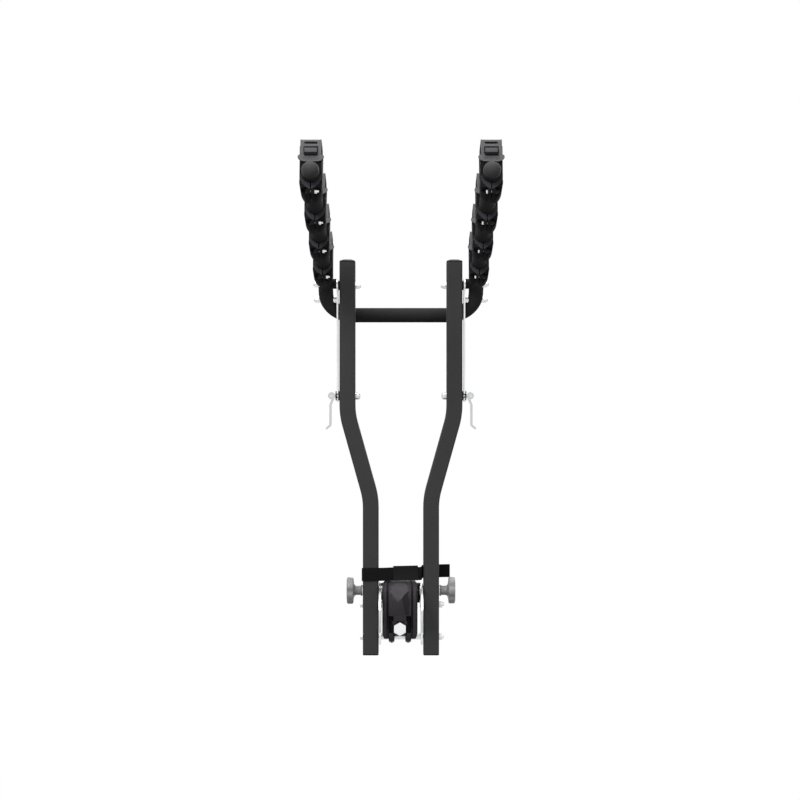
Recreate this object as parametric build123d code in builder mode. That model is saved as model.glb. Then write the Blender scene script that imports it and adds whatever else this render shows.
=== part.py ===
from build123d import *
import os
from math import cos, hypot, radians, sin, tan

# A bike rack for a tow ball: two cranked posts on a ball coupling carry a U-shaped arm tube.
# Millimetres. The origin is the tow ball's centre, +Z is up, -Y points away from the car.

# Posts: rectangular tube, close together at the ball and wider at the arms
post_width = 30.0
post_depth = 40.0
post_wall = 2.0
post_corner = 4.0
post_plane = -48.0
lower_post_offset = 57.6
upper_post_offset = 102.1
post_bottom = -93.0
post_head = 44.0
crank_below_lock = 36.0
crank_rise = 159.0
post_bend_radius = 135.0
cap_lip = 2.0
cap_crown = 3.0
foot_crown = 0.8
cap_plug = 14.0
cap_taper = 70.0
foot_taper = 50.0

# Arm tube: a crossbar behind the posts, two risers and two sloping arms
tube_radius = 14.0
tube_wall = 2.0
tube_clear = 6.9
bar_drop = 55.0
bar_gap = 4.6
corner_share = 0.69
elbow_share = 0.8
riser_slope = 50.0
arm_slope = 13.5
arm_length = 614.0
end_plug = 18.0
end_collar = 1.0

# Arm pivot and the quick-release lock below it
pivot_height = 609.0
lock_height = 398.0
plate_thickness = 3.0
plate_gap = 2.5
plate_head_radius = 14.0
plate_stud_margin = 8.5
plate_foot_radius = 12.0
plate_waist = 9.0
plate_waist_height = 60.0
stud_radius = 4.0
upper_stud_reach = 21.0
upper_stud_drop = 3.0
lower_stud_reach = 38.0
spacer_radius = 9.5
shoulder_radius = 7.5
nut_seat_radius = 6.0
lock_rod_radius = 4.0
lock_slack = 0.3
saddle_radius = 9.0
saddle_length = 2.0
cam_radius = 7.0
cam_offset = 1.0
cam_width = 18.0
cross_pin_radius = 2.5
cross_pin_short = 1.0
rod_eye_radius = 4.5
rod_eye_width = 8.0
rod_neck = 4.0
blade_thickness = 4.0
blade_length = 56.0
blade_root = 4.0
blade_offset = 1.5
blade_shoulder = 10.0
blade_bend = 4.0
blade_tip_flare = 7.0
blade_tip_drop = 6.0
fork_raise = 2.0
fork_room = 6.0
dome_nut_radius = 7.4
dome_nut_length = 9.5
dome_nut_round = 4.0
dome_nut_floor = 2.0

# Cradles on the arms, and their rubber straps
cradle_count = 4
tip_margin = 39.0
cradle_pitch = 150.0
cradle_width = 35.6
cradle_length = 46.0
cradle_keel = 33.0
cradle_keel_width = 18.0
bike_tube_radius = 15.0
seat_pad = 10.0
horn_height = 47.0
seam_width = 1.2
nub_width = 21.0
nub_height = 8.0
nub_reach = 6.5
nub_centre = 38.0
strap_thickness = 3.0
strap_width = 33.6
strap_top = 57.4
strap_front_bottom = 20.0
strap_tab_width = 42.0
strap_gap = 0.4
hook_hole_height = 13.0
hook_hole_width = 23.0
spare_hole_height = 3.4
spare_hole_width = 20.6
strap_pin_radius = 2.0
strap_eye_radius = 5.0
strap_eye_width = 22.0
strap_pin_height = 27.0
cradle_screw_radius = 2.0
cradle_screw_flats = 7.0
cradle_nut_height = 4.0
keel_screw_height = -26.5
keel_screw_reach = 16.0
keel_screw_grip = 6.0
keel_screw_end = 3.0
collar_shoulder = 10.0
keel_round = 26.0
groove_inner = 8.0
groove_low = -20.5
groove_high = -9.0
groove_width = 2.8
groove_depth = 2.2
notch_length = 15.0
notch_top = -22.5
strap_bend_radius = 4.0
spare_hole_centre = 51.2
hook_hole_rise = 0.6
strap_end_above_eye = 4.0
strap_root_overlap = 2.0
tab_neck_height = 13.0
tab_wide_height = 8.0
tab_corner_height = 4.0
tab_corner_inset = 2.0
tab_foot_inset = 6.0
tab_notch_radius = 6.0
lug_inset = 1.0
cradle_screw_head_height = 2.8

# Ball coupling
ball_radius = 25.0
ball_clearance = 0.1
cup_wall = 6.0
cup_skirt = 8.0
cup_block_depth = 34.0
cup_block_height = 26.0
cup_window_half = 18.0
cup_window_back = 14.0
cup_window_top = 12.0
cup_screw_radius = 3.0
cup_screw_length = 10.0
cup_screw_head = 3.6
cup_screw_head_radius = 5.0
cup_socket_flats = 4.0
cup_socket_depth = 2.6
cup_screw_end_room = 1.0
block_y = 8.0
block_z = 11.0
cup_screw_pitch_y = 18.0
cup_screw_pitch_z = 12.0
bracket_thickness = 4.0
bracket_gap = 1.0
bracket_reach = 101.5
bracket_hub_radius = 16.0
coupling_pivot_height = -62.0
guide_radius = 62.0
knob_arc_radius = 88.0
tilt_angle = 40.0
sector_start_angle = 84.0
sector_extra_angle = 20.0
bracket_heel_front = 6.0
bracket_heel_rear = 20.0
bracket_heel_rise = 2.0
bracket_block_reach = 20.0
bracket_block_half = 16.0
bracket_ear_reach = 14.0
bracket_ear_rise = 9.0
slot_play = 0.3
jaw_pin_radius = 5.0
jaw_pin_y = -31.0
jaw_pin_height = 31.0
jaw_boss_radius = 8.0
jaw_width = 32.0
jaw_bottom = -53.0
jaw_face = -40.4
jaw_heel = -26.0
jaw_lip_drop = 11.0
jaw_lip_slope = 3.0
jaw_shoulder = 8.0
jaw_room = 0.8
jaw_toe_half = 10.0
jaw_toe_top = -28.0
jaw_brow = 5.0
jaw_pad_margin = 3.0

# Clamp lever, its screw and pad
lever_width = 67.0
lever_shift = -2.0
lever_back = -57.0
lever_front = -92.0
lever_skin = 5.0
lever_top = 46.0
lever_bottom = -63.0
crown_half = 9.0
crown_drop = 1.0
brow_half = 16.0
brow_drop = 4.5
cheek_set_back = 8.0
cheek_drop = 13.0
chest_set_back = 2.0
chest_drop = 25.0
belly_drop = 49.0
shin_set_back = 1.0
shin_drop = 79.0
chin_set_back = 8.0
chin_rise = 3.0
chin_under = 12.0
back_rise = 6.0
slot_centre = -35.0
slot_height = 34.0
slot_inset = 1.0
head_window = 35.0
head_window_side = 1.5
prong_outer = 21.5
prong_inner = 11.5
prong_root = 4.0
prong_back = 4.0
prong_drop = 2.0
prong_play = 1.0
prong_overlap = 1.0
eye_radius = 10.0
pivot_tube_radius = 6.0
screw_radius = 7.0
screw_height = -43.0
screw_collar = 2.0
screw_flats = 22.0
screw_head_length = 8.8
screw_tip = -44.8
pad_radius = 8.0
pad_thickness = 4.0
thread_play = 0.05
block_front = -80.0
block_depth = 14.0

# Knobs
knob_radius = 25.8
knob_height = 13.2
knob_hub_radius = 9.0
knob_hub_length = 16.2
knob_lobes = 7
knob_scallop_radius = 11.0
knob_scallop_depth = 2.6
knob_chamfer = 1.5
knob_bore_floor = 2.0
washer_thickness = 1.4
washer_radius = 9.5

# Bolts: M8 throughout
bolt_radius = 4.0
bolt_flats = 13.0
bolt_head = 5.4
nut_height = 6.6
lock_nut_height = 8.0
thread_end = 3.0
flat_head_radius = 8.0
flat_head_height = 1.4
hole_play = 0.1
running_play = 0.06
overcut = 1.0

# Webbing safety strap round the posts
webbing_width = 25.0
webbing_thickness = 1.6
webbing_height = 59.5
webbing_gap = 0.5
webbing_tail = 94.0
webbing_sag = 3.0
webbing_ease = 0.4
webbing_return = 8.0
webbing_end_gap = 4.0
slide_length = 47.0
slide_height = 28.0
slide_thickness = 4.0
slide_middle = 9.0
slide_rise = 1.5

# Sizes that follow from the ones above
post_top = pivot_height + post_head
upper_bend_height = lock_height - crank_below_lock
lower_bend_height = upper_bend_height - crank_rise
bar_height = pivot_height - bar_drop
post_half = post_width / 2
post_front = post_plane - post_depth / 2
post_rear = post_plane + post_depth / 2
upper_inner = upper_post_offset - post_half
upper_outer = upper_post_offset + post_half
lower_inner = lower_post_offset - post_half
lower_outer = lower_post_offset + post_half
plate_inner = upper_outer + plate_gap
plate_outer = plate_inner + plate_thickness
arm_spacing = plate_outer + tube_clear + tube_radius
bracket_outer = lower_inner - bracket_gap
bracket_inner = bracket_outer - bracket_thickness
guide_height = coupling_pivot_height + guide_radius
knob_height_z = coupling_pivot_height + knob_arc_radius
bar_y = post_rear + bar_gap + tube_radius
slope = radians(arm_slope)
riser = radians(riser_slope)
bar_reach = post_plane - bar_y
elbow_forward = (pivot_height - bar_height + bar_reach * tan(riser)) / (tan(riser) - tan(slope))
elbow_y = post_plane - elbow_forward
elbow_z = pivot_height + elbow_forward * tan(slope)
riser_length = hypot(elbow_y - bar_y, elbow_z - bar_height)
corner_radius = corner_share * riser_length
elbow_radius = elbow_share * riser_length
upper_stud = (
    post_plane - upper_stud_reach * cos(slope),
    pivot_height + upper_stud_reach * sin(slope) - upper_stud_drop,
)
lower_stud = (bar_y - lower_stud_reach * cos(riser), bar_height + lower_stud_reach * sin(riser))
guide_place = (post_plane, guide_height)
knob_place = (post_plane, knob_height_z)
coupling_pivot = (post_plane, coupling_pivot_height)
sector_angle = tilt_angle + sector_extra_angle
pivot_place = (post_plane, pivot_height)
lock_place = (post_plane, lock_height)
jaw_pin_place = (jaw_pin_y, jaw_pin_height)
block_middle = (block_y, block_z)
sides = (("left", -1), ("right", 1))

os.makedirs("parts", exist_ok=True)


def save(part, label):
    """Label one finished piece and write it under its name."""
    part.label = label
    export_step(part, f"parts/{label}.step")


def rod_across(x_from, x_to, place, radius, mode=Mode.ADD):
    """A round bar or hole along X, at a (y, z) place."""
    middle = ((x_from + x_to) / 2, place[0], place[1])
    with Locations(Location(middle, (0, 90, 0))):
        Cylinder(radius, abs(x_to - x_from), mode=mode)


def bore_across(x_from, x_to, place, radius):
    """A hole along X, at a (y, z) place, that runs a little past both of its ends."""
    step = overcut if x_to > x_from else -overcut
    rod_across(x_from - step, x_to + step, place, radius, Mode.SUBTRACT)


def hexagon_across(x_from, x_to, place, flats, mode=Mode.ADD):
    """A hexagonal head or nut along X, at a (y, z) place."""
    with BuildSketch(Plane.YZ.offset(min(x_from, x_to))) as outline:
        with Locations(place):
            RegularPolygon(flats / 2, 6, major_radius=False)
    extrude(outline.sketch, amount=abs(x_to - x_from), mode=mode)


def arm_place(sign, reach):
    """The frame of a cradle: origin on the arm's axis, Z square to it, -Y out along it."""
    y = post_plane - reach * cos(slope)
    z = pivot_height + reach * sin(slope)
    return Location((sign * arm_spacing, y, z), (-arm_slope, 0, 0))


# Posts with their cranks, drilled across for every bolt
for side, sign in sides:
    with BuildPart() as post:
        with BuildLine() as post_line:
            FilletPolyline(
                (sign * lower_post_offset, post_plane, post_bottom),
                (sign * lower_post_offset, post_plane, lower_bend_height),
                (sign * upper_post_offset, post_plane, upper_bend_height),
                (sign * upper_post_offset, post_plane, post_top),
                radius=post_bend_radius,
            )
        with BuildSketch(Plane((sign * lower_post_offset, post_plane, post_bottom))):
            RectangleRounded(post_width, post_depth, post_corner)
            RectangleRounded(
                post_width - 2 * post_wall,
                post_depth - 2 * post_wall,
                post_corner - post_wall,
                mode=Mode.SUBTRACT,
            )
        sweep()
        for height in (coupling_pivot_height, guide_height, knob_height_z):
            hole = bolt_radius + (running_play if height == coupling_pivot_height else hole_play)
            bore_across(lower_inner * sign, lower_outer * sign, (post_plane, height), hole)
        for place in (pivot_place, lock_place):
            bore_across(upper_inner * sign, upper_outer * sign, place, bolt_radius + hole_play)
    save(post.part, f"{side}_post")

# Plastic caps in the ends of the posts
with BuildPart() as top_caps:
    for side, sign in sides:
        place = Plane((sign * upper_post_offset, post_plane, post_top))
        with BuildSketch(place):
            RectangleRounded(post_width, post_depth, post_corner)
        extrude(amount=cap_lip)
        with BuildSketch(place.offset(cap_lip)):
            RectangleRounded(post_width, post_depth, post_corner)
        extrude(amount=cap_crown, taper=cap_taper)
        with BuildSketch(place):
            RectangleRounded(
                post_width - 2 * post_wall - 2 * hole_play,
                post_depth - 2 * post_wall - 2 * hole_play,
                post_corner - post_wall - hole_play,
            )
        extrude(amount=-cap_plug)
save(top_caps.part, "post_top_caps")

with BuildPart() as bottom_caps:
    for side, sign in sides:
        place = Plane((sign * lower_post_offset, post_plane, post_bottom))
        with BuildSketch(place):
            RectangleRounded(post_width, post_depth, post_corner)
        extrude(amount=-cap_lip)
        with BuildSketch(place.offset(-cap_lip)):
            RectangleRounded(post_width, post_depth, post_corner)
        extrude(amount=-foot_crown, taper=foot_taper)
        with BuildSketch(place):
            RectangleRounded(
                post_width - 2 * post_wall - 2 * hole_play,
                post_depth - 2 * post_wall - 2 * hole_play,
                post_corner - post_wall - hole_play,
            )
        extrude(amount=cap_plug)
save(bottom_caps.part, "post_bottom_caps")

# Arm tube: left arm, left riser, crossbar, right riser, right arm
tip_y = post_plane - arm_length * cos(slope)
tip_z = pivot_height + arm_length * sin(slope)
with BuildPart() as arm_tube:
    with BuildLine() as arm_line:
        FilletPolyline(
            (-arm_spacing, tip_y, tip_z),
            (-arm_spacing, elbow_y, elbow_z),
            (-arm_spacing, bar_y, bar_height),
            (arm_spacing, bar_y, bar_height),
            (arm_spacing, elbow_y, elbow_z),
            (arm_spacing, tip_y, tip_z),
            radius=(elbow_radius, corner_radius, corner_radius, elbow_radius),
        )
    with BuildSketch(Plane(arm_line.line @ 0, z_dir=arm_line.line % 0)):
        Circle(tube_radius)
        Circle(tube_radius - tube_wall, mode=Mode.SUBTRACT)
    sweep()
    for side, sign in sides:
        for stud in (upper_stud, lower_stud):
            rod_across(
                sign * (arm_spacing - 2 * tube_radius),
                sign * (arm_spacing + 2 * tube_radius),
                stud,
                stud_radius + hole_play,
                Mode.SUBTRACT,
            )
save(arm_tube.part, "arm_tube")

with BuildPart() as end_caps:
    for side, sign in sides:
        place = Plane(
            (sign * arm_spacing, tip_y, tip_z),
            x_dir=(1, 0, 0),
            z_dir=(0, -cos(slope), sin(slope)),
        )
        with BuildSketch(place):
            Circle(tube_radius)
        extrude(amount=end_collar)
        with BuildSketch(place):
            Circle(tube_radius - tube_wall - hole_play)
        extrude(amount=-end_plug)
        with Locations(place.offset(end_collar).location):
            Sphere(tube_radius, arc_size1=0, align=(Align.CENTER, Align.CENTER, Align.MIN))
save(end_caps.part, "arm_end_caps")

# Arm plates: a head round the pivot and studs, and a long leg down to the lock
for side, sign in sides:
    with BuildPart() as arm_plate:
        with BuildSketch(Plane.YZ.offset(sign * plate_inner)):
            for stud in (upper_stud, lower_stud):
                with BuildLine(mode=Mode.PRIVATE) as web:
                    Line(pivot_place, stud)
                SlotArc(web.edge(), 2 * plate_stud_margin)
            with Locations(pivot_place):
                Circle(plate_head_radius)
            with BuildLine():
                Polyline(
                    (post_plane - plate_head_radius, pivot_height),
                    (post_plane + plate_stud_margin, lower_stud[1]),
                    (post_plane + plate_waist, lock_height + plate_waist_height),
                    (post_plane + plate_foot_radius, lock_height),
                    (post_plane - plate_foot_radius, lock_height),
                    (post_plane - plate_waist, lock_height + plate_waist_height),
                    close=True,
                )
            make_face()
            with Locations(lock_place):
                Circle(plate_foot_radius)
            slot_width = 2 * (lock_rod_radius + slot_play)
            with Locations(lock_place):
                Circle(slot_width / 2, mode=Mode.SUBTRACT)
            with Locations((post_plane - plate_foot_radius, lock_height)):
                Rectangle(2 * plate_foot_radius, slot_width, mode=Mode.SUBTRACT)
            with Locations(pivot_place):
                Circle(bolt_radius + running_play, mode=Mode.SUBTRACT)
            with Locations(upper_stud, lower_stud):
                Circle(stud_radius + running_play, mode=Mode.SUBTRACT)
        extrude(amount=sign * plate_thickness)
    save(arm_plate.part, f"{side}_arm_plate")


def tube_shape(extra):
    """The arm tube's outer shape, grown by a clearance, to cut what seats on it."""
    with BuildPart() as shape:
        with BuildLine():
            add(arm_line.line)
        with BuildSketch(Plane(arm_line.line @ 0, z_dir=arm_line.line % 0)):
            Circle(tube_radius + extra)
        sweep()
    return shape.part


# Studs pressed into the plates: the lower ones have a shoulder that seats on the tube
tube_cutter = tube_shape(hole_play)
stud_end = arm_spacing + tube_radius + nut_height + thread_end
with BuildPart() as plate_studs:
    for side, sign in sides:
        rod_across(sign * plate_outer, sign * arm_spacing, lower_stud, shoulder_radius)
    add(tube_cutter, mode=Mode.SUBTRACT)
    for side, sign in sides:
        for stud in (upper_stud, lower_stud):
            rod_across(sign * plate_inner, sign * stud_end, stud, stud_radius)
save(plate_studs.part, "plate_studs")

# Spacers between the plates and the tube on the upper studs, and nuts outside the tube
with BuildPart() as stud_spacers:
    for side, sign in sides:
        rod_across(sign * plate_outer, sign * arm_spacing, upper_stud, spacer_radius)
    add(tube_cutter, mode=Mode.SUBTRACT)
    for side, sign in sides:
        bore_across(plate_outer * sign, arm_spacing * sign, upper_stud, stud_radius + hole_play)
save(stud_spacers.part, "stud_spacers")

with BuildPart() as stud_nuts:
    nut_face = arm_spacing + tube_radius
    for side, sign in sides:
        for stud in (upper_stud, lower_stud):
            hexagon_across(sign * nut_face, sign * (nut_face + nut_height), stud, bolt_flats)
            rod_across(sign * arm_spacing, sign * nut_face, stud, nut_seat_radius)
    add(tube_cutter, mode=Mode.SUBTRACT)
    for side, sign in sides:
        for stud in (upper_stud, lower_stud):
            nut_end = nut_face + nut_height
            bore_across(arm_spacing * sign, nut_end * sign, stud, stud_radius + hole_play)
save(stud_nuts.part, "stud_nuts")

# Arm pivot bolts from outside the plates, with lock nuts inside the posts
with BuildPart() as arm_pivot_bolts:
    for side, sign in sides:
        shank_end = upper_inner - lock_nut_height - thread_end
        rod_across(sign * shank_end, sign * plate_outer, pivot_place, bolt_radius)
        hexagon_across(
            sign * (plate_outer + hole_play),
            sign * (plate_outer + hole_play + bolt_head),
            pivot_place,
            bolt_flats,
        )
        rod_across(
            sign * plate_outer,
            sign * (plate_outer + hole_play + overcut),
            pivot_place,
            bolt_radius,
        )
save(arm_pivot_bolts.part, "arm_pivot_bolts")

# Bolts through the mast's lower end: guides in the lower arc slots, studs for the knobs above
with BuildPart() as guide_bolts:
    inner_face = bracket_inner - hole_play
    rod_across(-(inner_face - flat_head_height), -lower_outer, guide_place, bolt_radius)
    hexagon_across(-lower_outer, -(lower_outer + bolt_head), guide_place, bolt_flats)
    rod_across(-(inner_face - flat_head_height), -inner_face, guide_place, flat_head_radius)
    rod_across(
        inner_face - flat_head_height,
        lower_outer + nut_height + thread_end,
        guide_place,
        bolt_radius,
    )
    rod_across(inner_face - flat_head_height, inner_face, guide_place, flat_head_radius)
save(guide_bolts.part, "guide_bolts")

knob_base = lower_outer + washer_thickness + hole_play
stud_reach = knob_base + knob_hub_length - knob_bore_floor
with BuildPart() as knob_bolts:
    for side, sign in sides:
        rod_across(
            sign * (inner_face - flat_head_height),
            sign * stud_reach,
            knob_place,
            bolt_radius,
        )
        rod_across(
            sign * (inner_face - flat_head_height),
            sign * inner_face,
            knob_place,
            flat_head_radius,
        )
save(knob_bolts.part, "knob_bolts")

with BuildPart() as mast_nuts:
    hexagon_across(lower_outer, lower_outer + nut_height, guide_place, bolt_flats)
    for side, sign in sides:
        hexagon_across(
            sign * upper_inner,
            sign * (upper_inner - lock_nut_height),
            pivot_place,
            bolt_flats,
        )
    bore_across(lower_outer, lower_outer + nut_height, guide_place, bolt_radius)
    bore_across(-upper_inner, upper_inner, pivot_place, bolt_radius)
save(mast_nuts.part, "mast_nuts")

# Washers that keep the plates off the posts
with BuildPart() as mast_washers:
    for side, sign in sides:
        for place in (pivot_place, lock_place):
            rod_across(sign * upper_outer, sign * (plate_inner - lock_slack), place, saddle_radius)
        for place in (guide_place, knob_place):
            rod_across(sign * (bracket_outer + hole_play), sign * lower_inner, place, saddle_radius)
    for side, sign in sides:
        for place in (pivot_place, lock_place):
            bore_across(upper_outer * sign, plate_inner * sign, place, bolt_radius + running_play)
        for place in (guide_place, knob_place):
            bore_across(bracket_outer * sign, lower_inner * sign, place, bolt_radius + running_play)
save(mast_washers.part, "mast_washers")

# Quick-release locks: rod with a cross head, dome nut, saddle and cam lever
saddle_face = plate_outer + lock_slack
saddle_end = saddle_face + saddle_length
cam_x = saddle_end + lock_slack + cam_offset + cam_radius
with BuildPart() as lock_saddles:
    for side, sign in sides:
        rod_across(sign * saddle_face, sign * saddle_end, lock_place, saddle_radius)
        bore_across(saddle_face * sign, saddle_end * sign, lock_place, lock_rod_radius + running_play)
save(lock_saddles.part, "lock_saddles")

for side, sign in sides:
    with BuildPart() as lock_rod:
        rod_across(
            sign * (upper_inner - dome_nut_length + dome_nut_floor),
            sign * (cam_x - rod_neck),
            lock_place,
            lock_rod_radius,
        )
        with Locations(Location((sign * cam_x, post_plane, lock_height), (90, 0, 0))):
            Cylinder(rod_eye_radius, rod_eye_width)
            Cylinder(cross_pin_radius, cam_width - cross_pin_short)
    save(lock_rod.part, f"{side}_lock_rod")

    with BuildPart() as dome_nut:
        place = Plane(
            (sign * (upper_inner - hole_play), post_plane, lock_height),
            x_dir=(0, 1, 0),
            z_dir=(-sign, 0, 0),
        )
        with BuildSketch(place):
            Circle(dome_nut_radius)
        extrude(amount=dome_nut_length)
        nut_tip = dome_nut.faces().sort_by(Axis.X)[-1 if sign < 0 else 0]
        fillet(nut_tip.edges(), dome_nut_round)
        rod_across(
            sign * upper_inner,
            sign * (upper_inner - dome_nut_length + dome_nut_floor - hole_play),
            lock_place,
            lock_rod_radius,
            Mode.SUBTRACT,
        )
    save(dome_nut.part, f"{side}_dome_nut")

    with BuildPart() as lock_lever:
        with BuildSketch(Plane.XZ.offset(-post_plane)):
            with Locations((sign * (cam_x - cam_offset), lock_height)):
                Circle(cam_radius)
            with BuildLine(mode=Mode.PRIVATE) as blade_line:
                FilletPolyline(
                    (sign * (cam_x - blade_root), lock_height - blade_root),
                    (sign * (cam_x + blade_offset), lock_height - cam_radius - blade_shoulder),
                    (sign * (cam_x + blade_offset), lock_height - blade_length),
                    (
                        sign * (cam_x + blade_offset + blade_tip_flare),
                        lock_height - blade_length - blade_tip_drop,
                    ),
                    radius=blade_bend,
                )
            SlotArc(blade_line.wire(), blade_thickness)
        extrude(amount=cam_width / 2, both=True)
        with Locations((sign * cam_x, post_plane, lock_height + fork_raise)):
            Box(
                4 * cam_radius,
                rod_eye_width + 2 * lock_slack,
                2 * cam_radius + fork_room,
                mode=Mode.SUBTRACT,
            )
        with Locations(Location((sign * cam_x, post_plane, lock_height), (90, 0, 0))):
            Cylinder(cross_pin_radius + running_play, 2 * cam_width, mode=Mode.SUBTRACT)
    save(lock_lever.part, f"{side}_lock_lever")

# Knobs with a scalloped grip, and the washers under them
for side, sign in sides:
    with BuildPart() as knob_washer:
        washer_face = lower_outer + washer_thickness
        rod_across(lower_outer * sign, washer_face * sign, knob_place, washer_radius)
        bore_across(lower_outer * sign, washer_face * sign, knob_place, bolt_radius + running_play)
    save(knob_washer.part, f"{side}_knob_washer")

    with BuildPart() as knob:
        place = Plane(
            (sign * knob_base, post_plane, knob_height_z),
            x_dir=(0, 1, 0),
            z_dir=(sign, 0, 0),
        )
        with BuildSketch(place):
            Circle(knob_hub_radius)
        extrude(amount=knob_hub_length + overcut)
        with BuildSketch(place.offset(knob_hub_length)):
            Circle(knob_radius)
            scallop_ring = knob_radius + knob_scallop_radius - knob_scallop_depth
            with PolarLocations(scallop_ring, knob_lobes):
                Circle(knob_scallop_radius, mode=Mode.SUBTRACT)
        extrude(amount=knob_height)
        rim = knob.faces().filter_by(GeomType.PLANE).sort_by(Axis.X)
        chamfer(rim[-1 if sign > 0 else 0].edges(), knob_chamfer)
        with BuildSketch(place):
            Circle(bolt_radius + running_play)
        extrude(amount=knob_hub_length, mode=Mode.SUBTRACT)
    save(knob.part, f"{side}_knob")

# Sector bracket plates: arc slots for the guide bolts and the knob bolts, centred on the pivot
bracket_heel = coupling_pivot_height - bracket_hub_radius + bracket_heel_rise
bracket_ear = jaw_pin_height + bracket_ear_rise
for side, sign in sides:
    with BuildPart() as bracket_plate:
        with BuildSketch(Plane.YZ.offset(sign * bracket_inner)):
            with BuildLine():
                sector = CenterArc(coupling_pivot, bracket_reach, sector_start_angle, sector_angle)
                Line(sector @ 1, coupling_pivot)
                Line(coupling_pivot, sector @ 0)
            make_face()
            with Locations(coupling_pivot):
                Circle(bracket_hub_radius)
            with BuildLine():
                Polyline(
                    (post_plane - bracket_heel_front, bracket_heel),
                    (post_plane + bracket_heel_rear, bracket_heel),
                    (block_y + bracket_block_reach, block_z - bracket_block_half),
                    (block_y + bracket_block_reach, block_z + bracket_block_half),
                    (jaw_pin_y + bracket_ear_reach, bracket_ear),
                    (post_plane, bracket_ear),
                    close=True,
                )
            make_face()
            for arc_radius in (guide_radius, knob_arc_radius):
                with BuildLine(mode=Mode.PRIVATE) as slot_line:
                    CenterArc(coupling_pivot, arc_radius, 90, tilt_angle)
                SlotArc(slot_line.edge(), 2 * (bolt_radius + slot_play), mode=Mode.SUBTRACT)
            with Locations(coupling_pivot):
                Circle(bolt_radius + running_play, mode=Mode.SUBTRACT)
            with Locations(jaw_pin_place):
                Circle(jaw_pin_radius + running_play, mode=Mode.SUBTRACT)
            with Locations(block_middle):
                with GridLocations(cup_screw_pitch_y, cup_screw_pitch_z, 2, 2):
                    Circle(cup_screw_radius + hole_play, mode=Mode.SUBTRACT)
        extrude(amount=sign * bracket_thickness)
    save(bracket_plate.part, f"{side}_bracket_plate")

# Ball cup: a dome over the ball with a skirt behind it, and a block that fills between the plates
socket_radius = ball_radius + ball_clearance
cup_radius = socket_radius + cup_wall
with BuildPart() as ball_cup:
    Sphere(cup_radius)
    with Locations((0, 0, -cup_radius / 2 - cup_skirt)):
        Box(3 * cup_radius, 3 * cup_radius, cup_radius, mode=Mode.SUBTRACT)
    with Locations((0, 0, -cup_skirt / 2)):
        Cylinder(cup_radius, cup_skirt)
    with Locations((0, block_y, block_z)):
        Box(2 * (bracket_inner - running_play), cup_block_depth, cup_block_height)
    Sphere(socket_radius, mode=Mode.SUBTRACT)
    with Locations((0, 0, -cup_skirt)):
        Cylinder(socket_radius, 2 * cup_skirt, mode=Mode.SUBTRACT)
    with Locations((0, -cup_window_back - cup_radius, cup_window_top - cup_radius)):
        Box(2 * cup_window_half, 2 * cup_radius, 2 * cup_radius, mode=Mode.SUBTRACT)
    for side, sign in sides:
        with BuildSketch(Plane.YZ.offset(sign * bracket_inner)) as cup_holes:
            with Locations(block_middle):
                with GridLocations(cup_screw_pitch_y, cup_screw_pitch_z, 2, 2):
                    Circle(cup_screw_radius + hole_play)
        extrude(cup_holes.sketch, amount=-sign * cup_screw_length, mode=Mode.SUBTRACT)
save(ball_cup.part, "ball_cup")

with BuildPart() as cup_screws:
    for side, sign in sides:
        for row, column in ((-1, -1), (-1, 1), (1, -1), (1, 1)):
            place = (block_y + row * cup_screw_pitch_y / 2, block_z + column * cup_screw_pitch_z / 2)
            rod_across(
                sign * (bracket_inner - cup_screw_length + cup_screw_end_room),
                sign * bracket_outer,
                place,
                cup_screw_radius,
            )
            rod_across(
                sign * bracket_outer,
                sign * (bracket_outer + cup_screw_head),
                place,
                cup_screw_head_radius,
            )
            hexagon_across(
                sign * (bracket_outer + cup_screw_head - cup_socket_depth),
                sign * (bracket_outer + cup_screw_head),
                place,
                cup_socket_flats,
                Mode.SUBTRACT,
            )
save(cup_screws.part, "cup_screws")

with BuildPart() as jaw_pin:
    rod_across(-bracket_outer, bracket_outer, jaw_pin_place, jaw_pin_radius)
save(jaw_pin.part, "jaw_pin")

# Clamp jaw: hangs from its pin in front of the ball
with BuildPart() as clamp_jaw:
    with BuildSketch(Plane.YZ.offset(-jaw_width / 2)):
        with BuildLine():
            Polyline(
                (jaw_pin_y - jaw_boss_radius, jaw_pin_height),
                (jaw_face - jaw_brow, 0),
                (jaw_face, screw_height + pad_radius + jaw_pad_margin),
                (jaw_face, jaw_bottom),
                (jaw_heel, jaw_bottom),
                (jaw_heel, -jaw_lip_drop - jaw_lip_slope),
                (-cup_window_back - jaw_room, -jaw_lip_drop),
                (-cup_window_back - jaw_room, jaw_shoulder),
                (jaw_pin_y + jaw_boss_radius, jaw_pin_height),
                close=True,
            )
        make_face()
    extrude(amount=jaw_width)
    rod_across(
        -(bracket_inner - hole_play),
        bracket_inner - hole_play,
        jaw_pin_place,
        jaw_boss_radius,
    )
    Sphere(socket_radius, mode=Mode.SUBTRACT)
    with Locations((0, 0, -cup_skirt / 2)):
        Cylinder(socket_radius, cup_skirt, mode=Mode.SUBTRACT)
    for sign in (-1, 1):
        toe_side = lever_shift + sign * (jaw_toe_half + jaw_width)
        with Locations((toe_side, jaw_face, jaw_toe_top - jaw_width)):
            Box(2 * jaw_width, 2 * jaw_width, 2 * jaw_width, mode=Mode.SUBTRACT)
    with BuildPart(mode=Mode.PRIVATE) as cup_room:
        Sphere(cup_radius + jaw_room)
        with Locations((0, 0, cup_window_top - cup_radius - jaw_room)):
            Box(3 * cup_radius, 3 * cup_radius, 2 * cup_radius, mode=Mode.SUBTRACT)
    add(cup_room.part, mode=Mode.SUBTRACT)
    bore_across(-bracket_inner, bracket_inner, jaw_pin_place, jaw_pin_radius + running_play)
save(clamp_jaw.part, "clamp_jaw")

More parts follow.
